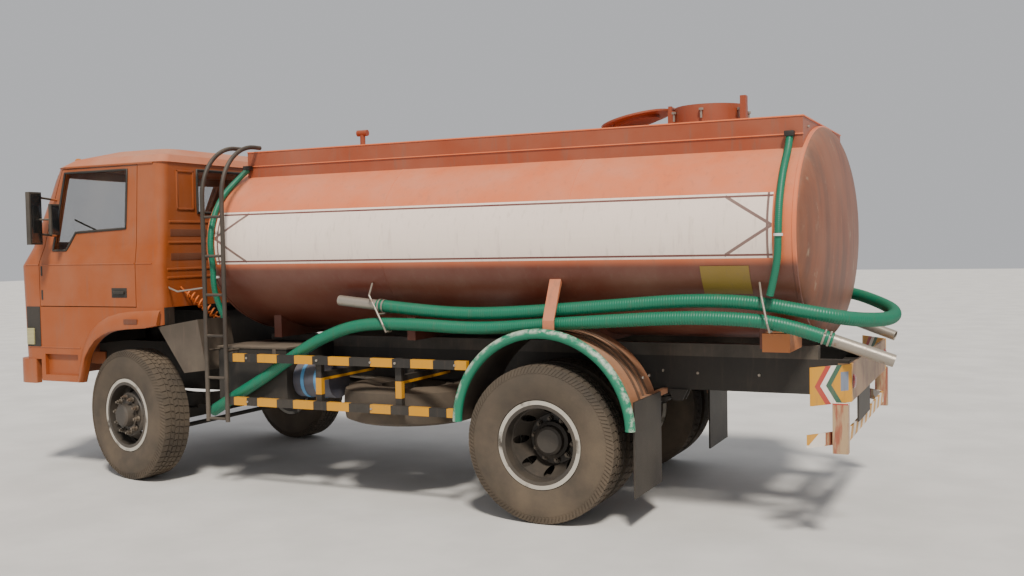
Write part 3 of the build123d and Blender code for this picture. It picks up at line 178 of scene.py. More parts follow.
class Look:
    """A procedural material under construction, in the object's own coordinates."""

    def __init__(self, name):
        self.material = bpy.data.materials.new(name)
        self.material.use_nodes = True
        self.tree = self.material.node_tree
        self.shader = self.tree.nodes["Principled BSDF"]
        self.place = self.add("ShaderNodeTexCoord").outputs["Object"]
        self.x, self.y, self.z = self.add("ShaderNodeSeparateXYZ", self.place).outputs
        normal = self.add("ShaderNodeNewGeometry").outputs["Normal"]
        self.up = self.add("ShaderNodeSeparateXYZ", normal).outputs[2]

    def add(self, kind, *inputs, **settings):
        node = self.tree.nodes.new(kind)
        for key, value in settings.items():
            setattr(node, key, value)
        for i, value in enumerate(inputs):
            self.feed(node.inputs[i], value)
        return node

    def feed(self, socket, value):
        """Links a socket, or sets a colour or number on it."""
        if isinstance(value, bpy.types.NodeSocket):
            self.tree.links.new(value, socket)
        elif socket.type == "RGBA":
            socket.default_value = (*value[:3], 1)
        elif value is not None:
            socket.default_value = value

    def math(self, operation, a, b=None):
        return self.add("ShaderNodeMath", a, b, operation=operation).outputs[0]

    def joined(self, operation, values):
        """One value from many, taken in one after the other."""
        whole = values[0]
        for value in values[1:]:
            whole = self.math(operation, whole, value)
        return whole

    def times(self, *values):
        return self.joined("MULTIPLY", values)

    def either(self, *values):
        return self.joined("MAXIMUM", values)

    def plus(self, a, b):
        return self.math("ADD", a, b)

    def minus(self, a, b):
        return self.math("SUBTRACT", a, b)

    def above(self, value, limit):
        return self.math("GREATER_THAN", value, limit)

    def below(self, value, limit):
        return self.math("LESS_THAN", value, limit)

    def size(self, value):
        return self.math("ABSOLUTE", value)

    def stripes(self, value, count):
        """Saw from 0 to 1, count times a metre."""
        return self.math("FRACT", self.times(value, count))

    def band(self, value, low, high):
        """1 between low and high."""
        return self.times(self.above(value, low), self.below(value, high))

    def blocks(self, value, spans):
        """1 where value lies in any of the spans."""
        return self.either(*[self.band(value, low, high) for low, high in spans])

    def ramp(self, value, low, high):
        """0 at low and 1 at high, smooth between."""
        node = self.add("ShaderNodeMapRange", value, low, high, interpolation_type="SMOOTHSTEP")
        return node.outputs[0]

    def mix(self, factor, a, b):
        node = self.add("ShaderNodeMix", factor, data_type="RGBA")
        self.feed(node.inputs[6], a)
        self.feed(node.inputs[7], b)
        return node.outputs[2]

    def noise(self, scale, detail=4.0, rough=0.55, stretch=None):
        place = self.place
        if stretch:
            mapping = self.add("ShaderNodeMapping", place)
            mapping.inputs["Scale"].default_value = stretch
            place = mapping.outputs[0]
        node = self.add("ShaderNodeTexNoise", place)
        for name, value in (("Scale", scale), ("Detail", detail), ("Roughness", rough)):
            node.inputs[name].default_value = value
        return node.outputs[0]

    def from_axle(self):
        """Length ahead of the rear axle."""
        return self.minus(self.x, REAR_AXLE_X)

    def off_axis(self, centre, axis):
        """Distance of a point from the line through centre along axis."""
        away = self.add("ShaderNodeVectorMath", self.place, tuple(centre), operation="SUBTRACT").outputs[0]
        turned = self.add("ShaderNodeVectorMath", away, tuple(axis), operation="CROSS_PRODUCT").outputs[0]
        return self.add("ShaderNodeVectorMath", turned, operation="LENGTH").outputs[1]

    def weathered(self, base, amount, dust=ROAD_DUST, streaks=0.25, fading=0.1):
        """Base colour faded, streaked and dusted, and how much dust covers it."""
        fade = self.ramp(self.noise(1.1, 3), 0.35, 0.7)
        patterned = isinstance(base, bpy.types.NodeSocket)
        share, bleach = (0.35, (0.7, 0.58, 0.46)) if patterned else (0.5, (0.75, 0.62, 0.5))
        colour = self.mix(self.times(fade, fading), base, self.mix(share, base, bleach))
        run = self.ramp(self.noise(5.0, 6, 0.6, (6, 6, 0.6)), 0.52, 0.72)
        colour = self.mix(self.times(run, streaks), colour, (0.16, 0.10, 0.07))
        settled = self.either(self.ramp(self.up, 0.15, 0.95), self.ramp(self.z, 1.3, 0.35))
        patch = self.ramp(self.noise(2.6, 9, 0.6), 0.18, 0.82)
        cover = self.times(self.plus(self.times(settled, 0.65), 0.3), patch, amount * 2.0)
        cover = self.math("MINIMUM", cover, 0.92)
        return self.mix(cover, colour, dust), cover

    def done(self, colour, rough, metal=0.0, bump=0.0, grain=60.0, alpha=1.0, coat=0.0):
        """Sets the shader and returns the material."""
        for name, value in (("Base Color", colour), ("Roughness", rough), ("Metallic", metal),
                            ("Coat Weight", coat), ("Alpha", alpha)):
            self.feed(self.shader.inputs[name], value)
        if bump:
            node = self.add("ShaderNodeBump")
            node.inputs["Strength"].default_value = bump
            node.inputs["Distance"].default_value = 0.01
            self.feed(node.inputs["Height"], self.noise(grain, 6, 0.6))
            self.feed(self.shader.inputs["Normal"], node.outputs[0])
        return self.material

    def worn(self, base, amount, rough, rise=0.3, bump=0.05, grain=60.0, **wear):
        """Weathers the base colour and finishes the material, duller where dust lies."""
        colour, cover = self.weathered(base, amount, **wear)
        return self.done(colour, self.plus(self.times(cover, rise), rough), bump=bump, grain=grain)


def paint(name):
    """One of the colours that the panel's paint settings hold."""
    return tuple(getattr(bpy.context.scene.tanker_paint, name))


def painted(name, colour, amount, rough=0.45, bump=0.06, **wear):
    return Look(name).worn(colour, amount, rough, 0.4, bump, 90.0, **wear)


# Colours, linear
BLACK_PAINT = (0.012, 0.011, 0.010)
YELLOW = (0.60, 0.27, 0.0)
RED = (0.42, 0.03, 0.02)
DARK_GREEN = (0.02, 0.10, 0.06)
WHITE = (0.78, 0.73, 0.67)

# Plain white band on the tank: height of its middle, half height, ends ahead of the axle
BAND_MIDDLE = 1.936
BAND_HALF = 0.198
BAND_REAR = -1.515
BAND_FRONT = 2.735


def tank_look():
    """Two-tone salmon over maroon, the salmon brightened as painted sunlight and the maroon darkened as
    painted shade, with the plain band and its border lines on both sides.
    """
    look = Look("tank_paint")
    x = look.from_axle()
    height = look.size(look.minus(look.z, BAND_MIDDLE))
    inside = look.times(look.above(look.size(look.y), 0.5), look.band(x, BAND_REAR, BAND_FRONT),
                        look.below(height, BAND_HALF))
    edge = look.times(inside, look.band(height, BAND_HALF - 0.026, BAND_HALF - 0.013))
    marks = [look.band(x, BAND_FRONT - 0.035, BAND_FRONT - 0.02),
             look.band(x, BAND_REAR + 0.02, BAND_REAR + 0.035)]
    for reach in (look.minus(BAND_FRONT, x), look.minus(x, BAND_REAR)):
        slant = look.size(look.minus(look.times(reach, 0.62), height))
        marks.append(look.times(look.below(slant, 0.011), look.below(reach, 0.29)))
    lines = look.times(inside, look.either(*marks))
    # Two-tone paint, salmon above and maroon below: the salmon is brightened as painted sunlight and the
    # maroon darkened as painted shade
    colour = look.mix(look.ramp(look.z, 1.76, 1.68), paint("tank_upper_sunlit"), paint("tank_lower_shaded"))
    colour = look.mix(inside, colour, paint("band"))
    colour = look.mix(edge, colour, (0.13, 0.025, 0.025))
    colour = look.mix(look.times(lines, 0.9), colour, (0.10, 0.03, 0.03))
    return look.worn(colour, 0.2, 0.34, 0.4, grain=40.0, streaks=0.18)


def guard_look():
    """Yellow blocks on black along the rails and posts of the side guards."""
    look = Look("guard_blocks")
    x = look.from_axle()
    upper_spans = ((2.42, 2.53), (2.12, 2.30), (1.80, 1.96), (1.48, 1.66), (1.12, 1.30), (0.79, 0.97),
                   (0.45, 0.62))
    lower_spans = ((2.41, 2.53), (2.13, 2.31), (1.80, 1.98), (1.49, 1.68), (1.14, 1.31), (0.83, 0.99),
                   (0.55, 0.69))
    upper = look.times(look.above(look.z, 0.98), look.blocks(x, upper_spans))
    lower = look.times(look.below(look.z, 0.76), look.blocks(x, lower_spans))
    post = look.times(look.band(look.z, 0.78, 0.90), look.blocks(x, ((1.70, 1.85), (1.02, 1.17))))
    colour = look.mix(look.either(upper, lower, post), BLACK_PAINT, YELLOW)
    return look.worn(colour, 0.05, 0.62, streaks=0.15, fading=0.01)


def bumper_look():
    """Arrowhead stripes on the rear beam's wings, faded paint between, striped lower bar."""
    look = Look("rear_bumper_stripes")
    across = look.size(look.y)
    run = look.plus(across, look.times(look.size(look.minus(look.z, 0.976)), 0.6))
    smear = look.ramp(look.noise(7.0, 6, 0.7, (1, 1, 0.6)), 0.42, 0.62)
    colour = look.mix(look.times(smear, 0.8), (0.24, 0.13, 0.055), (0.13, 0.035, 0.018))
    for low, high, stripe in ((1.135, 1.5, YELLOW), (1.10, 1.135, RED), (1.065, 1.10, WHITE),
                              (1.03, 1.065, DARK_GREEN), (0.90, 1.03, YELLOW)):
        colour = look.mix(look.band(run, low, high), colour, stripe)
    block = look.times(look.band(across, 0.921, 0.971), look.band(look.z, 0.934, 1.048))
    colour = look.mix(block, colour, (0.16, 0.20, 0.28))
    stripe = look.above(look.stripes(look.plus(look.y, look.z), 4.5), 0.5)
    colour = look.mix(look.below(look.z, 0.80), colour, look.mix(stripe, YELLOW, WHITE))
    post = look.times(look.band(across, 0.984, 1.046), look.below(look.z, 0.861),
                      look.above(look.x, REAR_AXLE_X - 1.939))
    streak = look.ramp(look.noise(6.0, 5, 0.6, (5, 5, 0.7)), 0.42, 0.6)
    colour = look.mix(post, colour, look.mix(streak, (0.42, 0.28, 0.15), (0.30, 0.06, 0.025)))
    return look.worn(colour, 0.12, 0.5, streaks=0.3)


def lower_side_look():
    """Cab orange outside, black inside the wheel arches."""
    look = Look("lower_side_paint")
    inside = look.times(look.below(look.size(look.y), 1.106), look.below(look.from_axle(), 4.80))
    return look.worn(look.mix(inside, paint("cab"), BLACK_PAINT), 0.12, 0.38, 0.4, 0.04, 90.0)


def door_look():
    """Cab orange, with the mirrors and their bars black."""
    look = Look("door_paint")
    outside = look.above(look.size(look.y), 1.165)
    return look.worn(look.mix(outside, paint("cab"), BLACK_PAINT), 0.22, 0.38, 0.4, grain=90.0)


def mirror_look():
    look = Look("mirror_glass")
    smear = look.ramp(look.noise(6.0, 5), 0.4, 0.75)
    return look.done(look.mix(smear, (0.10, 0.11, 0.12), (0.20, 0.19, 0.17)), 0.12, metal=0.9)


def head_look():
    """Faded maroon on the tank's ends, rubbed and streaked downwards."""
    look = Look("head_paint")
    run = look.ramp(look.noise(3.0, 7, 0.6, (2.2, 2.2, 0.35)), 0.35, 0.7)
    colour = look.mix(run, (0.22, 0.060, 0.022), (0.115, 0.036, 0.018))
    rub = look.ramp(look.noise(11.0, 8, 0.7, (1, 1, 0.5)), 0.58, 0.70)
    colour = look.mix(look.times(rub, 0.45), colour, (0.40, 0.30, 0.20))
    return look.worn(colour, 0.12, 0.52, bump=0.06, grain=30.0)


def bearer_look():
    """Black bearers below, maroon cradles above them, orange boxes beside the rear one."""
    look = Look("bearer_paint")
    # The cradles take the tank's lower maroon, which is darkened as painted shade
    colour = look.mix(look.above(look.z, 1.149), BLACK_PAINT, paint("tank_lower_shaded"))
    boxes = look.times(look.band(look.from_axle(), -1.60, -1.4152), look.above(look.size(look.y), 0.555))
    return look.worn(look.mix(boxes, colour, (0.50, 0.15, 0.03)), 0.25, 0.5, streaks=0.2)


def from_fender_axis(look):
    """Distance from the line that the rear fenders curve round."""
    return look.off_axis((REAR_AXLE_X - 0.02, 0, 0.645), (0, 1, 0))


def fender_look():
    """Dusty brown fenders, their pressed ribs paler, the stays over the hoses salmon."""
    look = Look("fender_paint")
    ribs = look.blocks(look.size(look.y), ((0.757, 0.790), (0.847, 0.880), (0.937, 0.970)))
    colour = look.mix(ribs, (0.36, 0.155, 0.075), (0.085, 0.034, 0.017))
    colour = look.mix(look.above(look.z, 1.2665), colour, (0.55, 0.17, 0.075))
    under = look.ramp(from_fender_axis(look), 0.6165, 0.6155)
    colour = look.mix(under, colour, (0.030, 0.020, 0.015))
    return look.worn(colour, 0.2, 0.45, 0.4, 0.06, 90.0, streaks=0.35)


def trim_look():
    """Split green hose, with pale mottled patches along its outer side that are a painted highlight."""
    look = Look("fender_hose")
    # Pale mottled patches along the outer edge: a painted highlight where light catches the hose
    worn = look.times(look.ramp(look.noise(16.0, 7, 0.75), 0.42, 0.60),
                      look.ramp(from_fender_axis(look), 0.612, 0.636), 0.85)
    return look.done(look.mix(worn, (0.008, 0.19, 0.105), (0.50, 0.56, 0.46)), 0.5, bump=0.12)


def wheel_look(name, centre, axis):
    """Black disc and hub inside a pale rim flange, dusty."""
    look = Look(name)
    pale = look.times(look.above(look.off_axis(centre, axis), 0.268), look.ramp(look.noise(9, 5), 0.30, 0.5))
    colour = look.mix(pale, (0.022, 0.021, 0.02), (0.50, 0.47, 0.41))
    return look.worn(colour, 0.2, 0.5, bump=0.08, dust=(0.22, 0.17, 0.12), streaks=0.1)


def hose_look(name, colour, amount=0.03):
    return Look(name).worn(colour, amount, 0.42, 0.35, 0.08, 150.0, dust=(0.34, 0.26, 0.18), streaks=0.2,
                           fading=0.0)


def glass_look():
    """Thin clear glass with dusty smears."""
    look = Look("cab_glass")
    smear = look.times(look.ramp(look.noise(3.0, 5), 0.4, 0.75), 0.25)
    colour = look.mix(smear, (0.02, 0.025, 0.025), (0.35, 0.28, 0.2))
    return look.done(colour, look.plus(smear, 0.08), alpha=0.16, coat=0.3)


def lamp_look(name, colour):
    """Ribbed lens."""
    look = Look(name)
    ribs = look.ramp(look.stripes(look.z, 90.0), 0.3, 0.6)
    return look.done(look.mix(ribs, colour, tuple(c * 0.6 for c in colour)), 0.22, coat=0.5)


def steel_look(name, colour):
    """Bare steel with rust spots."""
    look = Look(name)
    rust = look.ramp(look.noise(14, 8, 0.65), 0.55, 0.78)
    shade, _ = look.weathered(look.mix(rust, colour, (0.20, 0.09, 0.04)), 0.3, streaks=0.1)
    return look.done(shade, look.plus(look.times(rust, 0.3), 0.4), metal=0.5, bump=0.15)


def cloth_look():
    """Woven seat cloth, worn paler in places."""
    look = Look("seat_cloth")
    thread = look.either(*[look.ramp(look.stripes(run, 220.0), 0.3, 0.7) for run in (look.y, look.x)])
    shade = look.mix(thread, (0.03, 0.03, 0.035), (0.07, 0.065, 0.07))
    shade = look.mix(look.ramp(look.noise(5, 4), 0.5, 0.75), shade, (0.14, 0.11, 0.08))
    return look.done(shade, 0.85, bump=0.2, grain=260.0)


def plastic_look(name, colour, amount):
    look = Look(name)
    shade, _ = look.weathered(colour, amount, streaks=0.0, fading=0.02)
    return look.done(shade, 0.6, bump=0.15, grain=300.0)


LOOKS = {}


def make_looks():
    """All materials, by name."""
    LOOKS.update({
        "cab": painted("cab_paint", paint("cab"), 0.16, 0.38, 0.04),
        "door": door_look(),
        "bearer": bearer_look(),
        "ladder": painted("ladder_paint", (0.018, 0.013, 0.010), 0.16, 0.55, fading=0.04),
        "roof": painted("roof_paint", paint("roof"), 0.2, 0.5),
        "tank": tank_look(),
        "trough": painted("trough_paint", paint("trough"), 0.16, streaks=0.35),
        "head": head_look(),
        "fender": fender_look(),
        "black": painted("chassis_paint", BLACK_PAINT, 0.05, 0.6, streaks=0.1, fading=0.02),
        "grey": painted("mudguard_paint", (0.055, 0.042, 0.031), 0.16, 0.7, fading=0.05),
        "guard": guard_look(),
        "bumper": bumper_look(),
        "tyre": Look("tyre_rubber").worn((0.040, 0.033, 0.026), 0.5, 0.84, 0.1, 0.2, 120.0, streaks=0.0,
                                         fading=0.03, dust=(0.15, 0.112, 0.076)),
        "hose": hose_look("hose_rubber", paint("hose")),
        "trim": trim_look(),
        "glass": glass_look(),
        "mirror": mirror_look(),
        "lower": lower_side_look(),
        # Darker orange: the side markers' own paint, and painted shade on the flat strips in the cab's rear
        # recesses
        "recess": painted("recess_paint", (0.13, 0.030, 0.008), 0.1),
        "rubber": plastic_look("black_rubber", (0.013, 0.012, 0.011), 0.1),
        "flap": plastic_look("flap_rubber", (0.015, 0.011, 0.008), 0.05),
        "plastic": plastic_look("dash_plastic", (0.03, 0.03, 0.032), 0.25),
        "cloth": cloth_look(),
        "steel": steel_look("worn_steel", (0.32, 0.29, 0.25)),
        "dark_steel": steel_look("greasy_steel", (0.05, 0.045, 0.04)),
        "white_tie": plastic_look("white_tie", (0.70, 0.70, 0.68), 0.05),
        "red_lamp": lamp_look("red_lamp", (0.30, 0.008, 0.006)),
        "amber_lamp": lamp_look("amber_lamp", (0.60, 0.20, 0.01)),
        "clear_lamp": lamp_look("clear_lamp", (0.60, 0.60, 0.56)),
        "corner_lamp": lamp_look("corner_lamp", (0.50, 0.46, 0.22)),
        "blue": painted("blue_straps", (0.06, 0.28, 0.55), 0.05),
        "blue_tank": painted("air_tank_paint", (0.012, 0.030, 0.075), 0.16),
        "orange_line": hose_look("orange_line", (0.65, 0.15, 0.02), 0.15),
        "yellow_plate": painted("yellow_plate", (0.24, 0.15, 0.010), 0.08),
    })


# Look of each CAD node, black where it isn't named
NODE_LOOKS = {
    "cab_front": "cab", "cab_lower_sides": "lower", "cab_rear": "cab", "cab_roof": "roof",
    "door_left": "door", "door_right": "door", "windscreen": "glass", "rear_window": "glass",
    "door_glass_left": "glass", "door_glass_right": "glass", "front_bumper": "cab",
    "tank_barrel": "tank", "tank_heads": "head",
    "tank_bearers": "bearer", "coaming": "trough", "manhole_collar": "trough", "manhole_lid": "trough",
    "ladder": "ladder", "fenders_rear": "fender", "front_mudguards": "grey", "side_guards": "guard",
    "rear_bumper": "bumper", "mudflaps": "flap", "air_tank": "blue_tank", "fender_trims": "trim",
    "drain_hoses": "hose", "hose_hooks": "steel", "seats": "cloth", "dashboard": "plastic",
    "exhaust": "steel", "pipes_long": "steel", "pipe_low_left": "steel", "pipe_low_right": "steel",
}


def wheel_places():
    """Name, centre, axis and body of each wheel end."""
    rows = []
    for side, word in SIDES:
        turned = Vector((-math.sin(STEER), math.cos(STEER), 0)) * side
        pivot = Vector((FRONT_AXLE_X, side * 0.85, AXLE_HEIGHT))
        rows.append((f"front_{word}", pivot + turned * 0.17, turned, f"wheel_front_{word}"))
        rows.append((f"rear_{word}", on_side(side, 0, 0.925, AXLE_HEIGHT), Vector((0, side, 0)),
                     f"wheels_rear_{word}"))
    return rows


def dress_nodes():
    """Gives every CAD node its material."""
    looks = {name: LOOKS[NODE_LOOKS.get(name, "black")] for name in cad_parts}
    for name, centre, axis, _ in wheel_places():
        word = name.replace("front", "rim_front").replace("rear", "rims_rear")
        looks[word] = wheel_look(f"rim_{name}", centre, axis)
    for name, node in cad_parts.items():
        node.data.materials.clear()
        is_tyre = name.startswith("tyre") or name == "spare_wheel"
        node.data.materials.append(LOOKS["tyre"] if is_tyre else looks[name])


# Stage

CAMERA_PLACE = (-2.8644, 7.5557, 1.8395)
CAMERA_YAW = 0.4456
CAMERA_PITCH = -0.0395
CAMERA_ROLL = -0.0186
FOCAL_PIXELS = 1068.83
PHOTO_WIDTH = 1024
FLOOR_REACH = 60


def make_camera():
    """Camera at the photograph's place, turned by yaw, pitch and roll."""
    level = math.cos(CAMERA_PITCH)
    view = Vector((math.sin(CAMERA_YAW) * level, -math.cos(CAMERA_YAW) * level, math.sin(CAMERA_PITCH)))
    right = Vector((-math.cos(CAMERA_YAW), -math.sin(CAMERA_YAW), 0))
    up = right.cross(view)
    rolled_right = right * math.cos(CAMERA_ROLL) + up * math.sin(CAMERA_ROLL)
    rolled_up = up * math.cos(CAMERA_ROLL) - right * math.sin(CAMERA_ROLL)
    data = bpy.data.cameras.new("camera")
    data.sensor_width = 36
    data.lens = FOCAL_PIXELS / PHOTO_WIDTH * data.sensor_width
    data.clip_end = 200
    camera = bpy.data.objects.new("camera", data)
    turn = Matrix((rolled_right, rolled_up, -view)).transposed()
    camera.matrix_world = Matrix.Translation(ahead(*CAMERA_PLACE)) @ turn.to_4x4()
    bpy.context.scene.collection.objects.link(camera)
    bpy.context.scene.camera = camera


def make_stage():
    """Pale floor, soft sky and one broad sun from the left front above."""
    settings = bpy.context.scene.tanker_stage
    mesh = bpy.data.meshes.new("floor")
    corners = [(x * FLOOR_REACH, y * FLOOR_REACH, 0) for x, y in ((-1, -1), (1, -1), (1, 1), (-1, 1))]
    mesh.from_pydata(corners, [], [(0, 1, 2, 3)])
    floor = bpy.data.objects.new("floor", mesh)
    bpy.context.scene.collection.objects.link(floor)
    look = Look("floor_concrete")
    shade = look.mix(look.ramp(look.noise(1.5, 5), 0.3, 0.7), (0.62, 0.61, 0.59), (0.70, 0.69, 0.67))
    mesh.materials.append(look.done(shade, 0.85, bump=0.05))
    world = bpy.data.worlds.new("sky")
    world.use_nodes = True
    sky = world.node_tree.nodes["Background"]
    sky.inputs[0].default_value = (0.86, 0.87, 0.90, 1)
    sky.inputs[1].default_value = 0.62
    bpy.context.scene.world = world
    data = bpy.data.lights.new("sun", "SUN")
    data.energy = settings.sun_strength
    data.angle = settings.sun_width
    data.color = (1.0, 0.93, 0.83)
    sun = bpy.data.objects.new("sun", data)
    sun.rotation_euler = (math.radians(-32), math.radians(-22), 0)
    bpy.context.scene.collection.objects.link(sun)


# Hoses: routes as (x ahead, y, z) on the left

LONG_HOSE_SIDE = (
    (1.316, 1.045, 1.431), (0.968, 1.046, 1.396), (0.560, 1.048, 1.374), (0.060, 1.048, 1.398),
    (-0.480, 1.047, 1.440), (-1.000, 1.045, 1.480), (-1.400, 1.042, 1.466), (-1.720, 1.020, 1.408))
LONG_HOSE_BACK = (
    (-1.945, 0.880, 1.358), (-2.070, 0.610, 1.338), (-2.105, 0.300, 1.330), (-2.095, -0.040, 1.332),
    (-2.040, -0.380, 1.346), (-1.915, -0.710, 1.374), (-1.705, -0.975, 1.428))
LOW_HOSE = (
    (2.815, 1.100, 0.600), (2.590, 1.100, 0.726), (2.320, 1.100, 0.868), (2.040, 1.100, 1.046),
    (1.760, 1.100, 1.196), (1.440, 1.098, 1.300), (1.000, 1.094, 1.302), (0.480, 1.090, 1.276),
    (0.000, 1.090, 1.312), (-0.500, 1.090, 1.346), (-0.950, 1.090, 1.372), (-1.300, 1.084, 1.368),
    (-1.590, 1.058, 1.336), (-1.850, 1.020, 1.244))
RIGHT_HOSE_END = ((-1.300, 1.084, 1.358), (-1.480, 1.062, 1.290), (-1.660, 1.030, 1.226))
HOSE_RADIUS = 0.045
DRAIN_RADIUS = 0.024
DRAIN_OFF_TANK = 0.033


def spline_points(route):
    """Dense points read from the NURBS spline of a route."""
    curve = bpy.data.curves.new("route", "CURVE")
    curve.dimensions = "3D"
    spline = curve.splines.new("NURBS")
    spline.points.add(len(route) - 1)
    for point, place in zip(spline.points, route):
        point.co = (*place, 1)
    spline.order_u = 3
    spline.use_endpoint_u = True
    spline.resolution_u = 24
    thing = bpy.data.objects.new("route", curve)
    bpy.context.scene.collection.objects.link(thing)
    mesh = bpy.data.meshes.new_from_object(thing)
    points = [vert.co.copy() for vert in mesh.vertices]
    bpy.data.objects.remove(thing)
    bpy.data.meshes.remove(mesh)
    return points


def evenly(points, step):
    """Points at an even step along a dense line, and its length."""
    lengths = [0.0]
    for a, b in zip(points, points[1:]):
        lengths.append(lengths[-1] + (b - a).length)
    total = lengths[-1]
    count = max(2, round(total / step))
    found = []
    k = 0
    for i in range(count + 1):
        goal = total * i / count
        while k < len(lengths) - 2 and lengths[k + 1] < goal:
            k += 1
        share = (goal - lengths[k]) / max(lengths[k + 1] - lengths[k], 1e-9)
        found.append(points[k].lerp(points[k + 1], share))
    return found, total


def ribbed_hose(name, node, route, radius, pitch):
    """Corrugated hose along a route."""
    points, total = evenly(spline_points(route), pitch / 3)
    low = radius - pitch * 0.2
    shape = Shape()
    shape.tube(points, [radius if i % 3 == 1 else low for i in range(len(points))], 20)
    hose = shape.piece(name, "hose", smooth=80)
    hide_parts(node)


def drain_routes(side):
    """Routes of the rear and the front drain hose of one side, from the trough down."""
    rear = [(-1.560, 0.779, 2.492)]
    rear += [(-1.560, tank_side(z, DRAIN_OFF_TANK), z) for z in (2.420, 2.270, 2.090, 1.915)]
    rear += [(-1.555, 1.146, 1.750), (-1.532, 1.132, 1.630), (-1.500, 1.116, 1.512)]
    front = [(2.670, 0.781, 2.478), (2.725, tank_side(2.400, DRAIN_OFF_TANK), 2.400)]
    front += [(2.755, tank_side(z, DRAIN_OFF_TANK), z) for z in (2.260, 2.090, 1.900, 1.710)]
    front += [(2.758, 1.118, 1.560), (2.752, 1.075, 1.430), (2.735, 1.040, 1.330)]
    return [[on_side(side, *place) for place in route] for route in (rear, front)]


def make_hoses():
    """The long hose round the back, the two low ones and the drain hoses."""
    sizes = bpy.context.scene.tanker_sizes
    long_route = [ahead(*place) for place in (*LONG_HOSE_SIDE, *LONG_HOSE_BACK)]
    long_route += [on_side(-1, *place) for place in reversed(LONG_HOSE_SIDE[:-1])]
    ribbed_hose("hose_long_ribbed", "hose_long", long_route, HOSE_RADIUS, sizes.rib_pitch)
    low_routes = (LOW_HOSE, (*LOW_HOSE[:-3], *RIGHT_HOSE_END))
    for (side, word), places in zip(SIDES, low_routes):
        route = [on_side(side, *place) for place in reversed(places)]
        ribbed_hose(f"hose_low_{word}_ribbed", f"hose_low_{word}", route, HOSE_RADIUS, sizes.rib_pitch)
        for place, drain in zip(("rear", "front"), drain_routes(side)):
            ribbed_hose(f"drain_{place}_{word}", "drain_hoses", drain, DRAIN_RADIUS, sizes.drain_rib_pitch)


# Wheels

TYRE_RADIUS = 0.527
# Sidewall from the bead out to the shoulder, as (along, radius)
SIDEWALL = ((-0.105, 0.2585), (-0.105, 0.298), (-0.121, 0.301), (-0.133, 0.345), (-0.1395, 0.392),
            (-0.137, 0.430), (-0.128, 0.470), (-0.1185, 0.496), (-0.1145, 0.505))
# Tread blocks: two places across the tyre, then start, span and slant in shares of a step
LUGS = ((-0.113, -0.064, 0.0, 0.84, 0.12), (0.064, 0.113, 0.62, 0.84, -0.12),
        (-0.056, -0.022, 0.1, 0.8, 0.15), (-0.014, 0.020, 0.35, 0.8, -0.15), (0.028, 0.056, 0.5, 0.8, 0.15))
# Bars over the shoulder: along, radius and bend in shares of a step
SHOULDER = ((0.1105, 0.5190, 0.0), (0.1185, 0.4990, 0.2), (0.1262, 0.4760, 0.45))


def tyre_shape(centre, axis):
    """Tyre with grooved tread blocks and shoulder bars, about an axis."""
    shape = Shape()
    groove = TYRE_RADIUS - 0.007
    crown = [(along, groove) for along in (-0.110, -0.060, 0.0, 0.060, 0.110)]
    mirror = [(-along, radius) for along, radius in reversed(SIDEWALL)]
    shape.lathe([*SIDEWALL, *crown, *mirror], centre, axis, steps=96, looped=True)
    side, up = square_to(axis)

    def around(along, radius, angle):
        return centre + axis * along + (side * math.cos(angle) + up * math.sin(angle)) * radius

    def patch(low, low_radius, high, high_radius, start, slant, span):
        """Four points on the tread, the high edge shifted round by slant."""
        return [around(low, low_radius, start), around(high, high_radius, start + slant),
                around(high, high_radius, start + slant + span), around(low, low_radius, start + span)]

    def lug(low, high, start, span, slant):
        foot = TYRE_RADIUS - 0.014
        worn_low, worn_high = (TYRE_RADIUS - (0.004 if abs(along) > 0.1 else 0) for along in (low, high))
        shape.skin([patch(low, foot, high, foot, start, slant, span),
                    patch(low + 0.0015, worn_low, high - 0.0015, worn_high, start, slant, span)])

    def shoulder(sign, start, span):
        shape.skin([patch(sign * (along - 0.004), radius, sign * (along + 0.0035), radius,
                          start + bend * step, 0, span) for along, radius, bend in SHOULDER])

    sections = bpy.context.scene.tanker_sizes.tread_bars
    step = 2 * math.pi / sections
    for i in range(sections):
        for half in (0.0, 0.5):
            shoulder(-1, (i + half) * step, step * 0.30)
            shoulder(1, (i + half + 0.1) * step, step * 0.30)
        for low, high, start, span, slant in LUGS:
            lug(low, high, (i + start) * step, span * step, slant * step)
    return shape


def wheel_nuts(name, body, centre, axis, disc, hub):
    """Ten studs with nuts round a hub and small bolts on its cap."""
    shape = Shape()
    side, up = square_to(axis)
    for foot in circle(centre + axis * disc, side, up, 0.142, 10):
        shape.rod(foot - axis * 0.004, foot + axis * 0.006, 0.024, far_radius=0.021)
        shape.bolt(foot + axis * 0.006, axis, 0.018, 0.020)
        shape.rod(foot + axis * 0.02, foot + axis * 0.042, 0.010, sides=10)
    for i in range(8):
        angle = 2 * math.pi * (i + 0.5) / 8
        out = side * math.cos(angle) + up * math.sin(angle)
        shape.bolt(centre + axis * hub + out * 0.074, axis, 0.008, 0.006)
    shape.piece(name, "dark_steel", body)


def make_wheels():
    """Treaded tyres in place of the plain ones, and the wheel nuts."""
    for name, centre, axis, body in wheel_places():
        if name.startswith("front"):
            tyres = ((f"tread_{name}", 0.0),)
            node, disc, hub = f"tyre_{name}", 0.106, 0.158
        else:
            tyres = ((f"tread_{name}_outer", 0.155), (f"tread_{name}_inner", -0.155))
            node, disc, hub = f"tyres_{name}", 0.014, 0.112
        for tread, offset in tyres:
            tyre = tyre_shape(centre + axis * offset, axis).piece(tread, "tyre", body, smooth=35)
            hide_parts(node)
        wheel_nuts(f"nuts_{name}", body, centre, axis, disc, hub)


# Places on the cab and tank

BELT = 1.745
CAB_FOLD = 1.41
CAB_REAR_X = 3.270
TANK_MID = 1.885
TANK_HALVES = (1.120, 0.720)
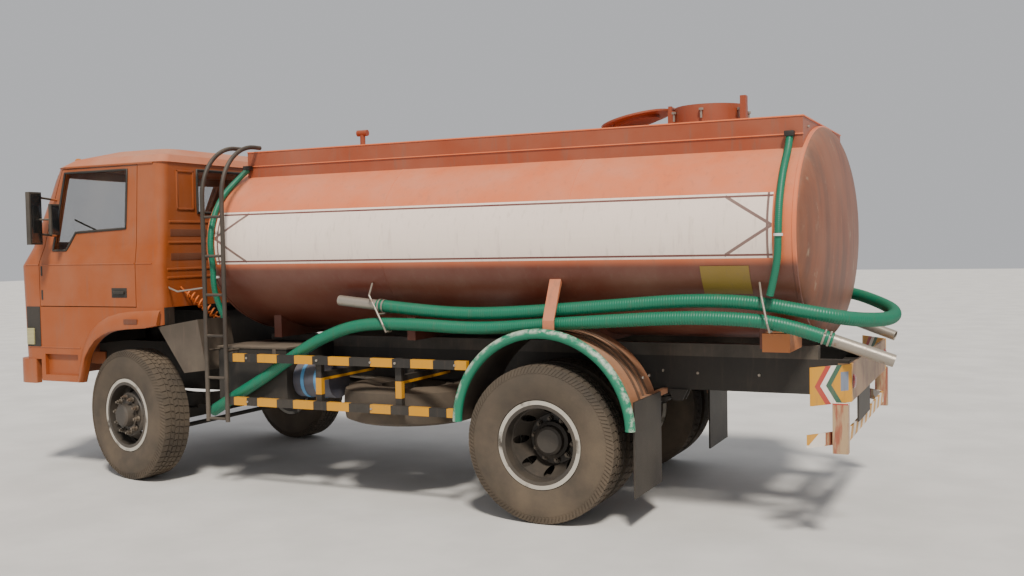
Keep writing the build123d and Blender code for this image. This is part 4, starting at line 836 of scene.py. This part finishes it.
# Half width of the cab at heights, as (z, y)
CAB_SIDES = ((0.775, 1.150), (BELT, 1.150), (1.900, 1.128), (2.560, 1.090))


def cab_side(z):
    """Half width of the cab at a height."""
    for (z0, y0), (z1, y1) in zip(CAB_SIDES, CAB_SIDES[1:]):
        if z <= z1:
            return y0 + (y1 - y0) * (z - z0) / (z1 - z0)
    return CAB_SIDES[-1][1]


def tank_side(z, off=0.0):
    """Half width of the tank at a height."""
    rise = (z - TANK_MID) / (TANK_HALVES[1] + off)
    return (TANK_HALVES[0] + off) * math.sqrt(max(0.0, 1 - rise * rise))


def on_node(node, start, direction):
    """Point and outward normal where a ray from start meets a CAD node."""
    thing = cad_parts[node]
    back = thing.matrix_world.inverted()
    found, place, normal, _ = thing.ray_cast(back @ Vector(start), back.to_3x3() @ Vector(direction))
    if not found:
        raise ValueError(f"no surface of {node} at {tuple(start)}")
    return thing.matrix_world @ place, (thing.matrix_world.to_3x3() @ normal).normalized()


def front_face(node, y, z, off=0.0):
    """Point just off the front of a node at a width and height."""
    place, normal = on_node(node, ahead(6.5, y, z), (-1, 0, 0))
    return place + normal * off


def cab_face(y, z, off):
    """Point just off the cab's front, above or below its fold."""
    return front_face("cab_front" if z > CAB_FOLD else "cab_lower_sides", y, z, off)


def outline_points(corners, step):
    """Points along a closed outline of corners, close together."""
    found = []
    for a, b in zip(corners, [*corners[1:], corners[0]]):
        count = max(1, round((b - a).length / step))
        found += [a.lerp(b, i / count) for i in range(count)]
    return found


def window_seal(name, points, radius, body="chassis"):
    """Rubber profile along a closed line."""
    shape = Shape()
    shape.tube(points, radius, 8, looped=True)
    shape.piece(name, "rubber", body, smooth=60)


# Cab trim

# Wheel arch lip: x ahead and z of its inner and outer edges
LIP = (
    (4.147, 0.778, 4.186, 0.790), (4.110, 0.885, 4.168, 0.905), (4.077, 0.990, 4.133, 1.020),
    (4.028, 1.062, 4.102, 1.105), (3.962, 1.130, 4.040, 1.195), (3.885, 1.173, 3.947, 1.272),
    (3.800, 1.205, 3.835, 1.326), (3.700, 1.220, 3.712, 1.355), (3.605, 1.228, 3.605, 1.368),
    (3.425, 1.238, 3.425, 1.377), (3.290, 1.262, 3.275, 1.382))
# The lip's section: share from the inner to the outer edge, and y
LIP_SECTION = ((1.0, 1.149), (0.86, 1.166), (0.55, 1.176), (0.12, 1.186), (0.0, 1.180), (0.0, 1.149))


def arch_lips():
    """Flared lips round both front wheel arches."""
    shape = Shape()
    for side, _ in SIDES:
        shape.skin([[on_side(side, x0 + (x1 - x0) * share, y, z0 + (z1 - z0) * share)
                     for share, y in LIP_SECTION] for x0, z0, x1, z1 in LIP])
    shape.piece("wheel_arch_lips", "cab", smooth=50)


def side_strips():
    """Pressed creases and drip rails along both sides of the cab."""
    shape = Shape()
    for side, _ in SIDES:
        for x0, x1, z in ((4.157, 4.760, 1.060), (3.350, 3.522, 1.752), (4.606, 4.760, 1.752)):
            shape.rod(on_side(side, x0, 1.149, z), on_side(side, x1, 1.149, z), 0.006, sides=8)
        shape.side_box(side, (3.36, 4.30), (1.088, 1.102), (2.548, 2.562), 0.003)
    shape.piece("cab_strips", "cab")


def rear_wall_ribs():
    """Pressed ribs, two panel frames and flat dark strips of painted shade in the recesses, on the cab's
    rear wall.
    """
    ribs = Shape()
    x = CAB_REAR_X
    for z in (1.637, 1.704, 1.919, 2.084):
        half = cab_side(z) - 0.085
        ribs.box((x - 0.007, x + 0.004), (-half, half), (z - 0.009, z + 0.009), 0.004)
    for side, _ in SIDES:
        for y, z in (((0.74, 0.755), (2.18, 2.50)), ((0.925, 0.94), (2.18, 2.50)),
                     ((0.74, 0.94), (2.18, 2.195)), ((0.74, 0.94), (2.485, 2.50))):
            ribs.side_box(side, (x - 0.008, x + 0.004), y, z, 0.003)
    ribs.piece("cab_rear_ribs", "cab")
    # Flat dark strips laid on the wall: painted shade where the recesses between the ribs fall into shadow
    dark = Shape()
    for z in (1.803, 1.995):
        dark.box((x - 0.003, x + 0.002), (-1.02, 1.02), (z - 0.028, z + 0.028), 0.001)
    dark.piece("cab_rear_recesses", "recess")


def grille_bars():
    """Bars and posts over a dark panel on the cab's front."""
    shape = Shape()
    widths = [y / 20 for y in range(-13, 14)]
    for i in range(8):
        shape.tube([cab_face(y, 1.135 + 0.042 * i, 0.004) for y in widths], 0.009, 6)
    for y in (-0.65, -0.22, 0.22, 0.65):
        shape.tube([cab_face(y, z, 0.004) for z in (1.120, 1.20, 1.28, 1.36, 1.40)], 0.010, 6)
    panel = []
    for z in (1.128, 1.20, 1.28, 1.36, 1.40, 1.418, 1.438):
        row = [cab_face(y, z, 0.002) for y in widths]
        panel.append([*row, *(point - Vector((0.004, 0, 0)) for point in reversed(row))])
    shape.skin(panel)
    shape.piece("grille_bars", "rubber", smooth=60)


def headlamps():
    """Round lamps with steel rims."""
    rims = Shape()
    lenses = Shape()
    for y in (-0.86, 0.86):
        place, normal = on_node("cab_lower_sides", ahead(6.5, y, 1.24), (-1, 0, 0))
        axis = Vector((1, 0, 0)) * 0.7 + normal * 0.3
        rims.lathe([(-0.02, 0.118), (0.012, 0.118), (0.018, 0.108), (0.012, 0.094), (-0.02, 0.094)],
                   place, axis, 40, looped=True)
        lenses.lathe([(-0.02, 0.096), (0.008, 0.094), (0.018, 0.06), (0.022, 0.0)], place, axis, 40)
    rims.piece("headlamp_rims", "steel")
    lenses.piece("headlamp_lenses", "clear_lamp")


def windscreen_trim():
    """Two wipers and the windscreen's seal."""
    wipers = Shape()
    for y in (-0.72, 0.08):
        foot = front_face("cab_front", y, 1.90, 0.012)
        middle = front_face("windscreen", y + 0.28, 2.06, 0.022)
        wipers.tube([foot, foot.lerp(middle, 0.5) + Vector((0.012, 0, 0)), middle], 0.006, 6)
        wipers.tube([front_face("windscreen", y + 0.28 + dy, 2.06 + dy * 0.3, 0.010)
                     for dy in (-0.26, -0.13, 0.0, 0.13, 0.26)], 0.008, 6)
    wipers.piece("wipers", "rubber", smooth=60)
    corners = [(-0.96, 1.945), (0.96, 1.945), (0.96, 2.49), (-0.96, 2.49)]
    seal = []
    for (y0, z0), (y1, z1) in zip(corners, [*corners[1:], corners[0]]):
        for i in range(16):
            y = y0 + (y1 - y0) * i / 16
            z = z0 + (z1 - z0) * i / 16
            push = 1.012 if abs(y) > 0.95 else 1.0
            lift = 0.010 if z > 2.48 else -0.010 if z < 1.95 else 0.0
            seal.append(front_face("cab_front", y * push, z + lift, 0.002))
    window_seal("windscreen_seal", seal, 0.011)


def corner_lamps():
    """Black corner strips with pale lamps, side markers on the arch lips, lamps on the roof."""
    strips = Shape()
    lenses = Shape()
    markers = Shape()
    roof = Shape()
    for side, _ in SIDES:
        strips.side_box(side, (4.606, 4.762), (1.148, 1.156), (1.064, 1.402), 0.003)
        lenses.side_box(side, (4.672, 4.756), (1.150, 1.168), (1.080, 1.220), 0.006)
        markers.side_box(side, (3.490, 3.633), (1.150, 1.190), (1.269, 1.309), 0.006)
        place, _ = on_node("cab_roof", on_side(side, 4.42, 0.86, 3.2), (0, 0, -1))
        roof.lathe([(-0.01, 0.03), (0.018, 0.028), (0.03, 0.016), (0.032, 0.0)], place, (0, 0, 1), 20)
    strips.piece("corner_strips", "rubber")
    lenses.piece("corner_lamps", "corner_lamp")
    markers.piece("side_markers", "recess")
    roof.piece("roof_lamps", "amber_lamp")


def door_trim(side, word):
    """Handle, window seal, hinges, crease and mirror glass of one door."""
    body = f"door_{word}"
    outline = ((3.642, BELT + 0.292), (4.192, BELT + 0.270), (4.298, BELT + 0.125), (4.450, BELT + 0.125),
               (4.325, 2.510), (3.634, 2.510))
    corners = [on_side(side, x, cab_side(z) + 0.001, z) for x, z in outline]
    window_seal(f"door_seal_{word}", outline_points(corners, 0.05), 0.010, body)
    dark = Shape()
    dark.side_box(side, (3.622, 3.786), (1.146, 1.153), (1.479, 1.558), 0.003)
    dark.side_box(side, (3.640, 3.765), (1.150, 1.172), (1.508, 1.532), 0.006)
    for x, z in ((4.575, 1.50), (4.575, 1.70), (4.50, 2.05)):
        y = cab_side(z) - 0.006
        dark.rod(on_side(side, x, y, z - 0.04), on_side(side, x, y, z + 0.04), 0.012, sides=10)
    dark.piece(f"door_fittings_{word}", "rubber", body)
    crease = Shape()
    crease.rod(on_side(side, 3.536, 1.149, 1.752), on_side(side, 4.592, 1.149, 1.752), 0.006, sides=8)
    crease.piece(f"door_crease_{word}", "cab", body)
    glass = Shape()
    glass.side_box(side, (4.4018, 4.4055), (1.280, 1.380), (1.935, 2.335), 0.001)
    glass.side_box(side, (4.2700, 4.2735), (1.218, 1.287), (2.012, 2.238), 0.001)
    glass.piece(f"mirror_glass_{word}", "mirror", body)


def make_cab():
    """Everything on the cab that the CAD leaves out."""
    arch_lips()
    side_strips()
    rear_wall_ribs()
    grille_bars()
    headlamps()
    windscreen_trim()
    corner_lamps()
    for side, word in SIDES:
        door_trim(side, word)
    window = ((-0.70, 2.16), (0.70, 2.16), (0.70, 2.51), (-0.70, 2.51))
    corners = [ahead(CAB_REAR_X - 0.002, y, z) for y, z in window]
    window_seal("rear_window_seal", outline_points(corners, 0.06), 0.012)


# Seats

SEAT_BASE_Z = 1.425


def cushion(name, centre, size, crown, seams, turn):
    """Crowned pad with sewn channels, about centre with size along x, y and z."""
    cells = 28
    half_x, half_y, half_z = (length / 2 for length in size)
    place = Matrix.Translation(centre) @ turn
    steps = [-1 + 2 * i / cells for i in range(cells + 1)]
    shape = Shape()
    top = []
    low = []
    for u in steps:
        dip = 0.012 * sum(math.exp(-((u - seam) / 0.035) ** 2) for seam in seams)
        top.append([])
        low.append([])
        for v in steps:
            fall = (1 - u ** 6) ** 0.5 * (1 - v ** 6) ** 0.5
            pull = 1 - 0.035 * (1 - abs(u * v)) * max(abs(u), abs(v)) ** 8
            x = u * half_x * pull
            y = v * half_y * pull
            z = half_z * 0.35 + fall * (half_z * 0.65 + crown - dip)
            top[-1].append(shape.bm.verts.new(place @ Vector((x, y, z))))
            low[-1].append(shape.bm.verts.new(place @ Vector((x, y, -half_z))))
    for i in range(cells):
        for j in range(cells):
            shape.bm.faces.new((top[i][j], top[i + 1][j], top[i + 1][j + 1], top[i][j + 1]))
            shape.bm.faces.new((low[i][j], low[i][j + 1], low[i + 1][j + 1], low[i + 1][j]))
    rim = [(i, 0) for i in range(cells)] + [(cells, j) for j in range(cells)]
    rim += [(i, cells) for i in range(cells, 0, -1)] + [(0, j) for j in range(cells, 0, -1)]
    for (a, b), (c, d) in zip(rim, [*rim[1:], rim[0]]):
        shape.bm.faces.new((top[a][b], low[a][b], low[c][d], top[c][d]))
    pad = shape.piece(name, "cloth", smooth=60)
    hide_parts("seats")


def make_seats():
    """Cushions and backs of both seats on their bases."""
    x = CAB_REAR_X + 0.290
    flat = Matrix.Identity(4)
    upright = Matrix.Rotation(-math.atan2(0.11, 0.66), 4, "Y") @ Matrix.Rotation(math.radians(90), 4, "Y")
    base = Shape()
    for side, word in SIDES:
        y = 0.620 * side
        base.box((x + 0.03, x + 0.47), (y - 0.22, y + 0.22), (SEAT_BASE_Z, SEAT_BASE_Z + 0.05), 0.008)
        cushion(f"seat_cushion_{word}", ahead(x + 0.25, y, SEAT_BASE_Z + 0.110), (0.50, 0.52, 0.12),
                0.018, (-0.33, 0.33), flat)
        cushion(f"seat_back_{word}", ahead(x + 0.048, y, SEAT_BASE_Z + 0.455), (0.60, 0.48, 0.11),
                0.016, (-0.5, 0.0, 0.5), upright)
    base.piece("seat_bases", "plastic")


# Tank fittings


def tank_ring(shape, x, off, width):
    """Flat strap round the barrel."""
    rings = []
    section = ((-width, -0.003), (-width * 0.7, off), (width * 0.7, off), (width, -0.003))
    for i in range(96):
        angle = 2 * math.pi * i / 96
        rings.append([ahead(x + dx, (TANK_HALVES[0] + out) * math.cos(angle),
                            TANK_MID + (TANK_HALVES[1] + out) * math.sin(angle)) for dx, out in section])
    shape.skin(rings, looped=True)


def make_tank():
    """Weld seams, trough edges, lid and trough bolts, and the blank plate."""
    seams = Shape()
    for x, off, width in ((-1.645, 0.006, 0.014), (2.800, 0.006, 0.014), (-0.18, 0.002, 0.006),
                          (1.25, 0.002, 0.006)):
        tank_ring(seams, x, off, width)
    for side, _ in SIDES:
        seams.side_box(side, (-1.640, 2.688), (0.742, 0.760), (2.612, 2.621), 0.002)
        seams.side_box(side, (-1.640, 2.688), (0.752, 0.764), (2.500, 2.508), 0.002)
    for x in (-1.640, 2.686):
        seams.box((x - 0.004, x + 0.010), (-0.755, 0.755), (2.612, 2.621), 0.002)
    seams.piece("tank_seams", "tank", smooth=50)
    bolts = Shape()
    for i in range(6):
        angle = math.radians(30 + 60 * i)
        spot = ahead(-0.860 + 0.272 * math.cos(angle), 0.272 * math.sin(angle), 2.70)
        bolts.rod(spot, spot + Vector((0, 0, 0.07)), 0.009, sides=10)
        bolts.bolt(spot + Vector((0, 0, 0.055)), (0, 0, 1), 0.018, 0.014)
    for x, facing in ((2.69, 1), (-1.642, -1)):
        for y in (-0.6, -0.3, 0.0, 0.3, 0.6):
            bolts.bolt(ahead(x, y, 2.56), (facing, 0, 0), 0.010)
    bolts.piece("tank_bolts", "steel")
    plate = Shape()
    front, rear, low, high = -1.062, -1.366, 1.514, 1.692
    rows = [low + (high - low) * i / 8 for i in range(9)]
    section = ((front, 0.0045), (rear, 0.0045), (rear, 0.001), (front, 0.001))
    plate.skin([[ahead(x, tank_side(z, off), z) for x, off in section] for z in rows])
    plate.piece("blank_plate", "yellow_plate")


def make_clips():
    """Clips round the hoses where the pipes go in."""
    shape = Shape()
    for side, low_end in ((1, LOW_HOSE), (-1, RIGHT_HOSE_END)):
        for first, second in (LONG_HOSE_SIDE[:2], (low_end[-1], low_end[-2])):
            start = on_side(side, *first)
            inward = (on_side(side, *second) - start).normalized()
            across = inward.orthogonal().normalized()
            half_screw = inward.cross(across) * 0.016
            for off in (0.022, 0.055):
                place = start + inward * off
                shape.lathe([(-0.006, 0.0455), (-0.006, 0.0480), (0.006, 0.0480), (0.006, 0.0455)],
                            place, inward, 28, looped=True)
                spot = place + across * 0.052
                shape.rod(spot - half_screw, spot + half_screw, 0.006, sides=8)
    shape.piece("hose_clips", "steel")


# Frame fittings

BRAKE_CHAMBER = ((-0.075, 0.03), (-0.07, 0.062), (-0.02, 0.078), (-0.006, 0.088), (0.006, 0.088),
                 (0.02, 0.078), (0.05, 0.070), (0.06, 0.03))


def frame_bolts():
    """Bolts of the side guards, the frame rails and the fender stays, and the brake chambers."""
    bolts = Shape()
    chambers = Shape()
    for side, _ in SIDES:
        outward = (0, side, 0)
        for x in (2.40, 1.30, 0.62):
            for z in (1.033, 0.702):
                bolts.bolt(on_side(side, x, 1.190, z), outward, 0.009)
        for x in (1.095, 1.76):
            bolts.bolt(on_side(side, x, 1.190, 1.033), outward, 0.010)
        for i in range(12):
            bolts.bolt(on_side(side, -1.70 + 0.42 * i, 0.430, 0.945), outward, 0.010, 0.008)
        for y in (0.55, 0.85, 0.98):
            bolts.bolt(on_side(side, -0.648, y, 0.97), (-1, 0, 0), 0.010)
        chambers.lathe(BRAKE_CHAMBER, on_side(side, -0.30, 0.42, 0.66), (1, 0, 0), 28)
    bolts.piece("frame_bolts", "steel")
    chambers.piece("brake_chambers", "black")


def boxes_and_straps():
    """Blue straps of the air tank and lids of the side boxes."""
    straps = Shape()
    for x in (1.925, 2.045):
        straps.lathe([(-0.014, 0.1375), (-0.014, 0.1415), (0.014, 0.1415), (0.014, 0.1375)],
                     ahead(x, 0.850, 0.850), (1, 0, 0), looped=True)
    straps.piece("air_tank_straps", "blue")
    lids = Shape()
    lids.box((2.132, 2.798), (0.60, 1.053), (1.088, 1.104), 0.004)
    for x in (2.25, 2.66):
        lids.box((x - 0.016, x + 0.016), (1.044, 1.054), (0.98, 1.09), 0.003)
    lids.box((1.822, 2.558), (-1.053, -0.60), (1.018, 1.034), 0.004)
    lids.piece("box_lids", "grey")


def lamps_and_ties():
    """Rear lamps, ties and spouts of the drain hoses, and the blank front plate."""
    lamps = Shape()
    ties = Shape()
    spouts = Shape()
    for side, _ in SIDES:
        lamps.lathe([(-0.012, 0.046), (0.006, 0.044), (0.014, 0.030), (0.016, 0.0)],
                    on_side(side, -1.938, 0.815, 0.976), (-1, 0, 0), 32)
        for x, z in ((-1.560, 1.877), (2.755, 1.640)):
            ties.lathe([(-0.008, 0.0245), (-0.008, 0.0275), (0.008, 0.0275), (0.008, 0.0245)],
                       on_side(side, x, tank_side(z, DRAIN_OFF_TANK), z), (0, 0, 1), 28, looped=True)
        for x, z in ((-1.560, 2.500), (2.667, 2.486)):
            spouts.side_box(side, (x - 0.030, x + 0.030), (0.757, 0.812), (z - 0.012, z + 0.022), 0.006)
    lamps.piece("tail_lamps", "red_lamp")
    ties.piece("drain_ties", "white_tie")
    spouts.piece("drain_spouts", "black")
    plate = Shape()
    x = front_face("front_bumper", 0.0, 0.85).x - REAR_AXLE_X
    plate.box((x - 0.008, x + 0.005), (-0.255, 0.255), (0.798, 0.908), 0.002)
    plate.piece("blank_front_plate", "yellow_plate", slot="grey_plate")


def coil(start, end, radius, turns):
    """Points of a coiled line from start to end with straight tails."""
    length = (end - start).length
    along = (end - start).normalized()
    side, up = square_to(along)
    tail = length * 0.16
    steps = turns * 16
    points = [start]
    for i in range(steps + 1):
        angle = 2 * math.pi * turns * i / steps
        share = tail + (length - 2 * tail) * i / steps
        points.append(start + along * share + (side * math.cos(angle) + up * math.sin(angle)) * radius)
    points.append(end)
    return points


def make_air_lines():
    """Two coiled air lines from the cab's rear wall to the frame, and a bent rod beside them."""
    rod = Shape()
    rod.tube([ahead(*place) for place in ((3.262, 1.060, 1.560), (3.20, 1.120, 1.556), (3.10, 1.140, 1.530),
                                          (2.96, 1.145, 1.545), (2.80, 1.178, 1.562))], 0.007, 8)
    rod.piece("tilt_rod", "steel", smooth=70)
    for k, (y, top, foot) in enumerate(((0.93, 1.56, 1.30), (0.85, 1.50, 1.24))):
        points = coil(ahead(3.262, y, top), ahead(2.96, y - 0.12, foot), 0.030, 7)
        shape = Shape()
        shape.tube(points, 0.007, 8)
        line = shape.piece(f"air_line_{k}", "orange_line", smooth=80)


# Add-on


def colour_setting(name, description, default):
    return bpy.props.FloatVectorProperty(name=name, description=description, default=default,
                                         subtype="COLOR", min=0.0, max=1.0)


class TANKER_PG_paint(bpy.types.PropertyGroup):
    """Paint colours."""
    cab: colour_setting("Cab", "Orange of the cab and its doors", (0.32, 0.062, 0.002))
    roof: colour_setting("Roof", "Faded salmon of the cab's roof", (0.50, 0.135, 0.050))
    # The tank's two colours are two-tone paint, the upper one brightened as painted sunlight and the lower
    # one darkened as painted shade
    tank_upper_sunlit: colour_setting("Tank, upper half", "Salmon above the tank's middle", (0.74, 0.165, 0.050))
    tank_lower_shaded: colour_setting("Tank, lower half", "Maroon below the tank's middle", (0.13, 0.022, 0.010))
    band: colour_setting("Band", "White of the plain band on the tank", (0.95, 0.80, 0.70))
    trough: colour_setting("Trough", "Brown of the trough plates on top", (0.30, 0.052, 0.012))
    hose: colour_setting("Hoses", "Green of the suction hoses", (0.0, 0.155, 0.085))


class TANKER_PG_sizes(bpy.types.PropertyGroup):
    """Sizes of the pieces built here."""
    rib_pitch: bpy.props.FloatProperty(name="Hose ribs", description="Spacing of the suction hoses' ribs",
                                       default=0.017, min=0.008, unit="LENGTH")
    drain_rib_pitch: bpy.props.FloatProperty(name="Drain ribs", default=0.012, min=0.006, unit="LENGTH",
                                             description="Spacing of the drain hoses' ribs")
    tread_bars: bpy.props.IntProperty(name="Tread bars", description="Bars round each tyre's shoulder",
                                      default=60, min=24)


class TANKER_PG_stage(bpy.types.PropertyGroup):
    """Light and ground."""
    sun_strength: bpy.props.FloatProperty(name="Sun", description="Strength of the sun", default=4.0,
                                          min=0.0)
    sun_width: bpy.props.FloatProperty(name="Sun width", description="Angle that the sun spans",
                                       default=math.radians(9), min=0.0, subtype="ANGLE")


class TANKER_OT_stage(bpy.types.Operator):
    """Camera, floor and lights"""
    bl_idname = "tanker.stage"
    bl_label = "Stage"

    def execute(self, context):
        make_camera()
        make_stage()
        return {"FINISHED"}


class TANKER_OT_looks(bpy.types.Operator):
    """Materials of the CAD nodes"""
    bl_idname = "tanker.looks"
    bl_label = "Materials"

    def execute(self, context):
        make_looks()
        dress_nodes()
        return {"FINISHED"}


class TANKER_OT_hoses(bpy.types.Operator):
    """Ribbed hoses"""
    bl_idname = "tanker.hoses"
    bl_label = "Hoses"

    def execute(self, context):
        make_hoses()
        return {"FINISHED"}


class TANKER_OT_wheels(bpy.types.Operator):
    """Treaded tyres and wheel nuts"""
    bl_idname = "tanker.wheels"
    bl_label = "Wheels"

    def execute(self, context):
        make_wheels()
        return {"FINISHED"}


class TANKER_OT_cab(bpy.types.Operator):
    """Seals, lamps, lips and handles of the cab"""
    bl_idname = "tanker.cab"
    bl_label = "Cab trim"

    def execute(self, context):
        make_cab()
        return {"FINISHED"}


class TANKER_OT_seats(bpy.types.Operator):
    """Soft seats"""
    bl_idname = "tanker.seats"
    bl_label = "Seats"

    def execute(self, context):
        make_seats()
        return {"FINISHED"}


class TANKER_OT_tank(bpy.types.Operator):
    """Seams, bolts, plate and hose clips"""
    bl_idname = "tanker.tank"
    bl_label = "Tank fittings"

    def execute(self, context):
        make_tank()
        make_clips()
        return {"FINISHED"}


class TANKER_OT_fittings(bpy.types.Operator):
    """Bolts, straps, lamps and air lines of the frame"""
    bl_idname = "tanker.fittings"
    bl_label = "Frame fittings"

    def execute(self, context):
        frame_bolts()
        boxes_and_straps()
        lamps_and_ties()
        make_air_lines()
        return {"FINISHED"}


OPERATORS = (TANKER_OT_stage, TANKER_OT_looks, TANKER_OT_hoses, TANKER_OT_wheels, TANKER_OT_cab,
             TANKER_OT_seats, TANKER_OT_tank, TANKER_OT_fittings)
SETTINGS = (("tanker_paint", TANKER_PG_paint), ("tanker_sizes", TANKER_PG_sizes),
            ("tanker_stage", TANKER_PG_stage))


class TANKER_PT_panel(bpy.types.Panel):
    """Settings, and buttons that build the truck's looks"""
    bl_idname = "TANKER_PT_panel"
    bl_label = "Tanker truck"
    bl_space_type = "VIEW_3D"
    bl_region_type = "UI"
    bl_category = "Tanker"

    def draw(self, context):
        for setting, group in SETTINGS:
            for name in group.__annotations__:
                self.layout.prop(getattr(context.scene, setting), name)
        for operator in OPERATORS:
            self.layout.operator(operator.bl_idname)


CLASSES = (*(group for _, group in SETTINGS), *OPERATORS, TANKER_PT_panel)


def register():
    for item in CLASSES:
        bpy.utils.register_class(item)
    for setting, group in SETTINGS:
        setattr(bpy.types.Scene, setting, bpy.props.PointerProperty(type=group))


def unregister():
    for setting, _ in SETTINGS:
        delattr(bpy.types.Scene, setting)
    for item in reversed(CLASSES):
        bpy.utils.unregister_class(item)


def main():
    register()
    bpy.ops.tanker.stage()
    bpy.ops.tanker.looks()
    bpy.ops.tanker.hoses()
    bpy.ops.tanker.wheels()
    bpy.ops.tanker.cab()
    bpy.ops.tanker.seats()
    bpy.ops.tanker.tank()
    bpy.ops.tanker.fittings()


if __name__ == "__main__":
    main()
